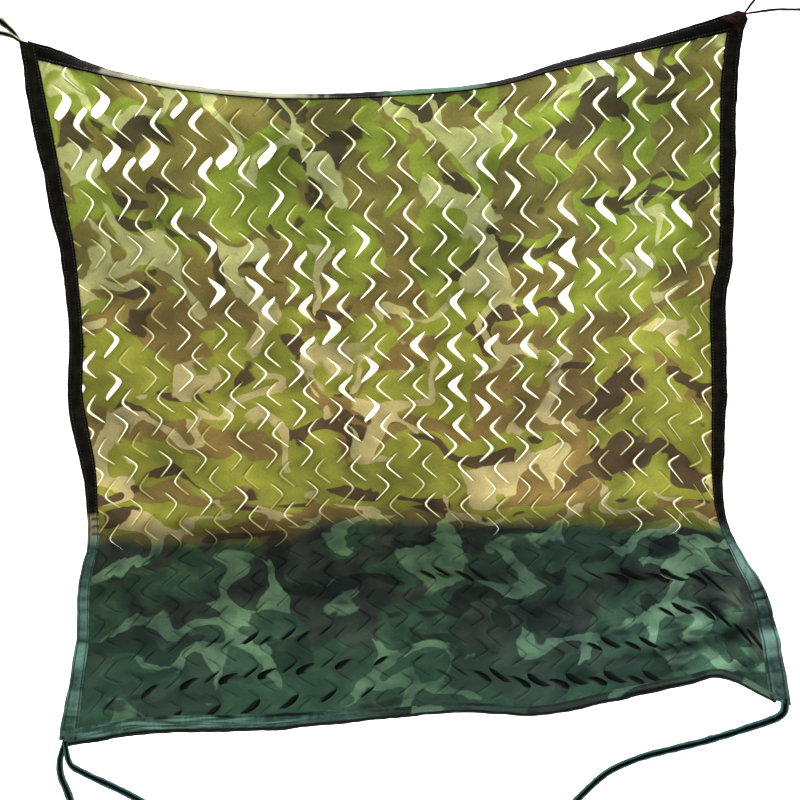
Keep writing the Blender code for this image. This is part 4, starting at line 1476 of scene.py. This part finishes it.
# %% Seam stitches
STITCH_PITCH = 5 * MM
STITCH_SIZE = Vector((0.36, 0.17, 0.13)) * 5 * MM
THREAD_INK = (24, 26, 19)
SEAM_HALF = {2.2: 1.0, 17.4: 1.3}


def join(mesh, part):
    """Moves a finished part into a mesh."""
    data = bpy.data.meshes.new("part")
    part.to_mesh(data)
    part.free()
    mesh.from_mesh(data)
    bpy.data.meshes.remove(data)


def make_stitches():
    mesh = bmesh.new()
    for spec in BINDINGS.values():
        steps, states = strip_steps(spec, STITCH_PITCH)
        for seam in SEAMS_AT:
            for face in (-1, 1):
                run = bmesh.new()
                points = [skin_point(spec, step, state, seam, face * SEAM_HALF[seam])
                          for step, state in zip(steps[1:-1], states[1:-1])]
                for start, end in zip(points, points[1:]):
                    turn = (end - start).to_track_quat("X", "Y").to_matrix().to_4x4()
                    shape = Matrix.Diagonal((*STITCH_SIZE, 1))
                    bmesh.ops.create_icosphere(run, subdivisions=1, radius=1, matrix=(
                        Matrix.Translation((start + end) / 2) @ turn @ shape))
                join(mesh, run)
    return smoothed(mesh)


def make_thread():
    material = bpy.data.materials.new("seam_thread")
    material.use_nodes = True
    surface = material.node_tree.nodes["Principled BSDF"]
    surface.inputs["Base Color"].default_value = paint(*THREAD_INK)
    surface.inputs["Roughness"].default_value = 0.7
    return material


stitches = link_mesh("seam_stitches", make_stitches(), make_thread())
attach(stitches, "root")
print("stitches:", len(stitches.data.polygons), "faces")

# %% [markdown]
# ## Ties
#
# Each corner has one or two tapes, folded lengthwise into a gutter. A taut tape shows as a soft
# groove between two ridges, the groove in painted shadow and its folded edges pale from wear and
# painted highlight. We sweep that section along the same points as the solids. The tapes are tied to
# something out of view and end there in a knot.

# %% Tie routes
TAPE = {"width": 13.0, "thickness": 4.0}
THIN_TAPE = {"width": 4.4, "thickness": 3.6}
# x, z, how far back of the cloth, and the size of the tape there as a share of its full size.
TIES = {
    "tie_top_left_upper": {"tape": TAPE, "girth": 11.0, "route": (
        (-582.6, 86.1, 2.0, 0.45), (-592, 98, 3.4, 0.62), (-602, 108, 3.8, 0.82),
        (-616, 119, 3.8, 1.0), (-633, 130, 3.6, 1.0), (-653, 143, 3.4, 0.95),
    )},
    "tie_top_left_lower": {"tape": TAPE, "girth": 9.4, "route": (
        (-583.2, 85.4, -2.4, 0.45), (-592, 91, -3.2, 0.55), (-602, 95, -3.4, 0.65),
        (-616, 98, -3.4, 0.75), (-633, 100, -3.2, 0.80), (-654, 101, -3.0, 0.80),
    )},
    "tie_top_right_upper": {"tape": THIN_TAPE, "girth": 4.4, "route": (
        (576.1, 128.9, 2.6, 0.70), (588, 145, 3.0, 1.0), (597, 156, 3.0, 1.0),
        (611, 173, 3.0, 1.0), (628, 193, 3.0, 1.0),
    )},
    "tie_top_right_side": {"tape": THIN_TAPE, "girth": 4.4, "route": (
        (575.9, 128.3, -2.6, 0.70), (603, 132.2, -3.0, 1.0), (628, 135.2, -3.0, 1.0),
        (648, 135.2, -3.0, 1.0), (666, 135, -3.0, 1.0), (690, 135, -3.0, 1.0),
    )},
    "tie_bottom_left_inner": {"tape": TAPE, "girth": 12.0, "route": (
        (-501, -1030.8, 8.8, 0.60), (-505, -1053, 6.0, 0.85), (-502, -1074, 4.4, 0.95),
        (-493, -1093, 4.0, 0.95), (-484, -1112, 3.0, 0.95), (-473, -1131, 3.0, 0.95),
    )},
    "tie_bottom_left_outer": {"tape": TAPE, "girth": 11.5, "route": (
        (-497.4, -1025.4, 3.2, 0.60), (-487, -1055, -3.0, 0.80), (-465, -1068, -4.0, 0.90),
        (-437, -1081, -3.0, 0.90), (-403, -1096, -3.0, 0.90), (-371, -1112, -3.0, 0.90),
        (-340, -1129, -3.0, 0.90),
    )},
    "tie_bottom_right": {"tape": TAPE, "girth": 12.0, "route": (
        (629, -964.5, 0.0, 1.05), (626, -978, 0.0, 1.10), (611, -988, 0.0, 1.05),
        (571, -1001, 0.0, 1.0), (510, -1019, 0.0, 0.95), (460, -1031, 0.0, 0.95),
        (403, -1045, 0.0, 0.90), (355, -1064, 0.0, 0.90), (328, -1083, 0.0, 0.90),
        (292, -1116, 0.0, 0.90), (270, -1139, 0.0, 0.90),
    )},
}
# The folded section, once round from the left edge: shares of width and thickness, how deep the
# place lies in painted shadow, and how pale it is from wear and painted highlight.
FOLDED_SECTION = (
    (-0.50, 0.05, 0.0, 0.5), (-0.46, -0.28, 0.0, 0.8), (-0.36, -0.47, 0.1, 0.9),
    (-0.25, -0.50, 0.6, 0.6), (-0.13, -0.36, 1.0, 0.2), (-0.05, -0.04, 1.0, 0.0),
    (0.03, 0.00, 1.0, 0.0), (0.10, -0.26, 1.0, 0.2), (0.20, -0.46, 0.6, 0.6),
    (0.33, -0.50, 0.1, 0.9), (0.45, -0.32, 0.0, 0.8), (0.50, 0.02, 0.2, 0.4),
    (0.45, 0.30, 0.6, 0.0), (0.30, 0.44, 0.8, 0.0), (0.10, 0.48, 0.9, 0.0),
    (-0.10, 0.50, 0.9, 0.0), (-0.30, 0.44, 0.8, 0.0), (-0.45, 0.30, 0.5, 0.1),
)
print("ties:", ", ".join(TIES))

# %% Tape of the ties
# Roughness, twist and unevenness of the tape, and how unevenly its edges are worn and lit pale with
# painted highlight.
TAPE_ROUGHNESS, TAPE_TWIST, TAPE_UNEVEN, TAPE_WEAR_AND_LIGHT = 0.16, 0.30, 0.10, 0.35
TIE_ROOT = 6 * MM
TIE_PITCH, LEAST_TIE_STEPS = 2.5 * MM, 12


def tie_line(table):
    """The tie's middle line in the frame, with its size in mm as a fourth coordinate."""
    points = []
    for x, z, back, size in table:
        middle = on_cloth(Vector((x, z)) * MM, back * MM)
        points.append(Vector((*middle, size * MM)))
    shares = [0.0]
    for start, end in zip(points, points[1:]):
        shares.append(shares[-1] + (end.xyz - start.xyz).length)
    return Route(shares, points)


def tie_ring(middle, along, tape, size, twist, seed):
    """One ring of the folded section, across the direction of the tape."""
    across = along.cross(FRONT).normalized()
    across = Matrix.Rotation(twist, 3, along) @ across
    forward = across.cross(along).normalized()
    if forward.y > 0:
        forward.negate()
    ring = []
    for wide, thick, _, _ in FOLDED_SECTION:
        rough = 1 + TAPE_ROUGHNESS * ripple(seed, wide * 4, thick * 4)
        aside = across * wide * tape["width"] * size * rough
        ring.append(middle + aside * MM - forward * thick * tape["thickness"] * size * rough * MM)
    return ring


def tape_groove(row, column):
    """The gutter between the two folded edges lies in shadow."""
    return FOLDED_SECTION[column][2]


def tape_lit(row, column):
    """The folded edges are worn and catch the light: wear and painted highlight."""
    return FOLDED_SECTION[column][3] + TAPE_WEAR_AND_LIGHT * ripple(row * 0.35, column * 0.5, 2.0)


def make_tie(spec, seed):
    route = tie_line(spec["route"])
    count = max(LEAST_TIE_STEPS, round(line_length(route.points) / TIE_PITCH))
    rings, path = [], []
    for index in range(count + 1):
        here = route.at(index / count)
        ahead = route.at(min(index / count + 0.01, 1.0)) - route.at(max(index / count - 0.01, 0.0))
        at = index * TIE_PITCH
        size = here.w / MM * (1 + TAPE_UNEVEN * ripple(at * 60, seed, 0.0))
        twist = TAPE_TWIST * ripple(at * 35, seed, 4.0)
        rings.append(tie_ring(here.xyz, ahead.xyz.normalized(), spec["tape"], size, twist,
                              at * 120 + seed * 17))
        path.append(here.xyz)
    start = (route.at(0).xyz - route.at(0.02).xyz).normalized()
    rings.insert(0, [point + start * TIE_ROOT for point in rings[0]])
    path.insert(0, path[0] + start * TIE_ROOT)
    return sweep(rings, groove=tape_groove, lit=tape_lit), path


longest = max(line_length(tie_line(spec["route"]).points) for spec in TIES.values())
print("longest tie:", round(longest, 3), "m")

# %% [markdown]
# ## Overhand knots
#
# An overhand knot is a trefoil. Its line is a short formula, and the same sweep gives it cloth. A
# short free end leaves each knot.

# %% Knots
KNOT_STEPS, KNOT_RING_STEPS, KNOT_ROUGHNESS = 60, 10, 0.12
# Half the thickness of the tape in a knot, as a share of the tape's mean size. The other three are
# factors: how far the knot spreads, how deep it is, and how flat its tape lies.
KNOT_THICKNESS, KNOT_SPREAD, KNOT_DEPTH, KNOT_FLATNESS = 0.30, 0.72, 1.1, 0.85
TAIL_STEPS, TAIL_LENGTH = 11, 4.2


def round_ring(centre, side, lift, halves, steps, roughness, seed):
    """One rough oval ring of wound tape, from its half width and half thickness in mm."""
    ring = []
    for step in range(steps):
        turn = 2 * math.pi * step / steps
        rough = 1 + roughness * ripple(seed[0], step * seed[1], seed[2])
        ring.append(centre + (side * math.cos(turn) * halves[0] + lift * math.sin(turn) * halves[1])
                    * rough * MM)
    return ring


# Painted light, in patches, on the wound tape of knots and lashing.
def knot_lit(row, column):
    return 0.5 + 0.8 * ripple(row * 0.5, column * 0.6, 8.0)


def make_knot(centre, along, tape, size, seed):
    """A trefoil of tape round the end of a tie, and the free end that leaves it."""
    across = along.cross(FRONT).normalized()
    forward = across.cross(along).normalized()
    thickness = (tape["width"] * tape["thickness"]) ** 0.5 * size * KNOT_THICKNESS
    spread = thickness * KNOT_SPREAD
    mesh = bmesh.new()
    points = []
    for index in range(KNOT_STEPS):
        turn = 2 * math.pi * index / KNOT_STEPS
        a = (math.sin(turn) + 2 * math.sin(2 * turn)) * spread
        b = (math.cos(turn) - 2 * math.cos(2 * turn)) * spread
        c = -math.sin(3 * turn) * spread * KNOT_DEPTH
        points.append(centre + (along * a + across * b + forward * c) * MM)
    rings = []
    for index, point in enumerate(points):
        travel = (points[(index + 1) % KNOT_STEPS] - points[index - 1]).normalized()
        side = travel.cross(forward if abs(travel.dot(forward)) < 0.8 else along).normalized()
        lift = side.cross(travel)
        halves = (KNOT_FLATNESS * thickness, thickness)
        rings.append(round_ring(point, side, lift, halves, KNOT_RING_STEPS, KNOT_ROUGHNESS,
                                (index * 0.7, 0.9, seed)))
    knot = sweep(rings + [rings[0]], lit=knot_lit)
    tail_rings = []
    tail = (-along * 0.15 + across * 0.9 + Vector((0, 0, -0.5))).normalized()
    tail = (along * 0.75 + tail * 0.5).normalized()
    for index in range(TAIL_STEPS + 1):
        share = index / TAIL_STEPS
        droop = Vector((0, 0, -2)) * share**2
        middle = centre + (tail * share * thickness * TAIL_LENGTH + droop) * MM
        tail_rings.append(tie_ring(middle, tail, tape, size * (0.85 - 0.1 * share), 0.2 * share,
                                   seed + index * 0.4))
    end = sweep(tail_rings, groove=tape_groove, lit=tape_lit)
    join(mesh, knot)
    join(mesh, end)
    return mesh


print("a knot is a ring of", KNOT_STEPS, "steps")

# %% Lashing
LASHING_STEPS, LASHING_TURNS, LASHING_REACH, LASHING_DEPTH = 20, 7, 26.0, 7.0
# The lashing starts this far from the tip, and is wider the further it is from there.
LASHING_START, LASHING_SWAY, LASHING_WIDTH, LASHING_WIDENS = 3.0, 1.5, 8.5, 0.42
LASHING_RING_STEPS, LASHING_ROUGHNESS = 8, 0.15


def make_lashing(tip, along, tape):
    """Turns of thin tape round the gathered corner of the cloth, close behind its tip."""
    across = along.cross(FRONT).normalized()
    forward = across.cross(along).normalized()
    path = []
    for index in range(LASHING_STEPS * LASHING_TURNS + 1):
        share = index / (LASHING_STEPS * LASHING_TURNS)
        angle = 2 * math.pi * index / LASHING_STEPS
        back_from_tip = LASHING_START + LASHING_REACH * share + LASHING_SWAY * math.sin(3 * angle)
        wide = LASHING_WIDTH + LASHING_WIDENS * back_from_tip
        path.append(tip + (along * -back_from_tip + across * math.cos(angle) * wide
                           + forward * math.sin(angle) * LASHING_DEPTH) * MM)
    rings = []
    for index, point in enumerate(path):
        before, after = path[max(index - 1, 0)], path[min(index + 1, len(path) - 1)]
        travel = (after - before).normalized()
        outward = (point - tip - along * (point - tip).dot(along)).normalized()
        sideways = travel.cross(outward).normalized()
        halves = (0.75 * tape["width"], 0.45 * tape["thickness"])
        rings.append(round_ring(point, sideways, outward, halves, LASHING_RING_STEPS,
                                LASHING_ROUGHNESS, (index * 0.5, 1.1, 31.0)))
    return sweep(rings, lit=knot_lit)


print("the lashing goes round", LASHING_TURNS, "times")

# %% Ties with their knots
INSIDE_CORNER_X, INSIDE_CORNER_Z = 0.540, 0.092

for number, (name, spec) in enumerate(TIES.items()):
    built, path = make_tie(spec, number + 1.0)
    cloth = strip_cloths["tape_cloth" if spec["tape"] is TAPE else "thin_tape_cloth"]
    tie = link_mesh(name + "_tape", built, cloth)
    last = path[-1]
    heading = (path[-1] - path[-4]).normalized()
    end_size = spec["route"][-1][3]
    knot = link_mesh("knot_" + name[4:], make_knot(last, heading, spec["tape"], end_size, number),
                     cloth)
    for piece in (tie, knot):
        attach(piece, "root")
    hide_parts(name)

tip = tie_line(TIES["tie_top_right_upper"]["route"]).at(0).xyz
inwards = tip - on_cloth(Vector((INSIDE_CORNER_X, INSIDE_CORNER_Z)))
lashing = link_mesh("lashing_top_right", make_lashing(tip, inwards.normalized(), THIN_TAPE),
                    strip_cloths["lashing_cloth"])
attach(lashing, "root")
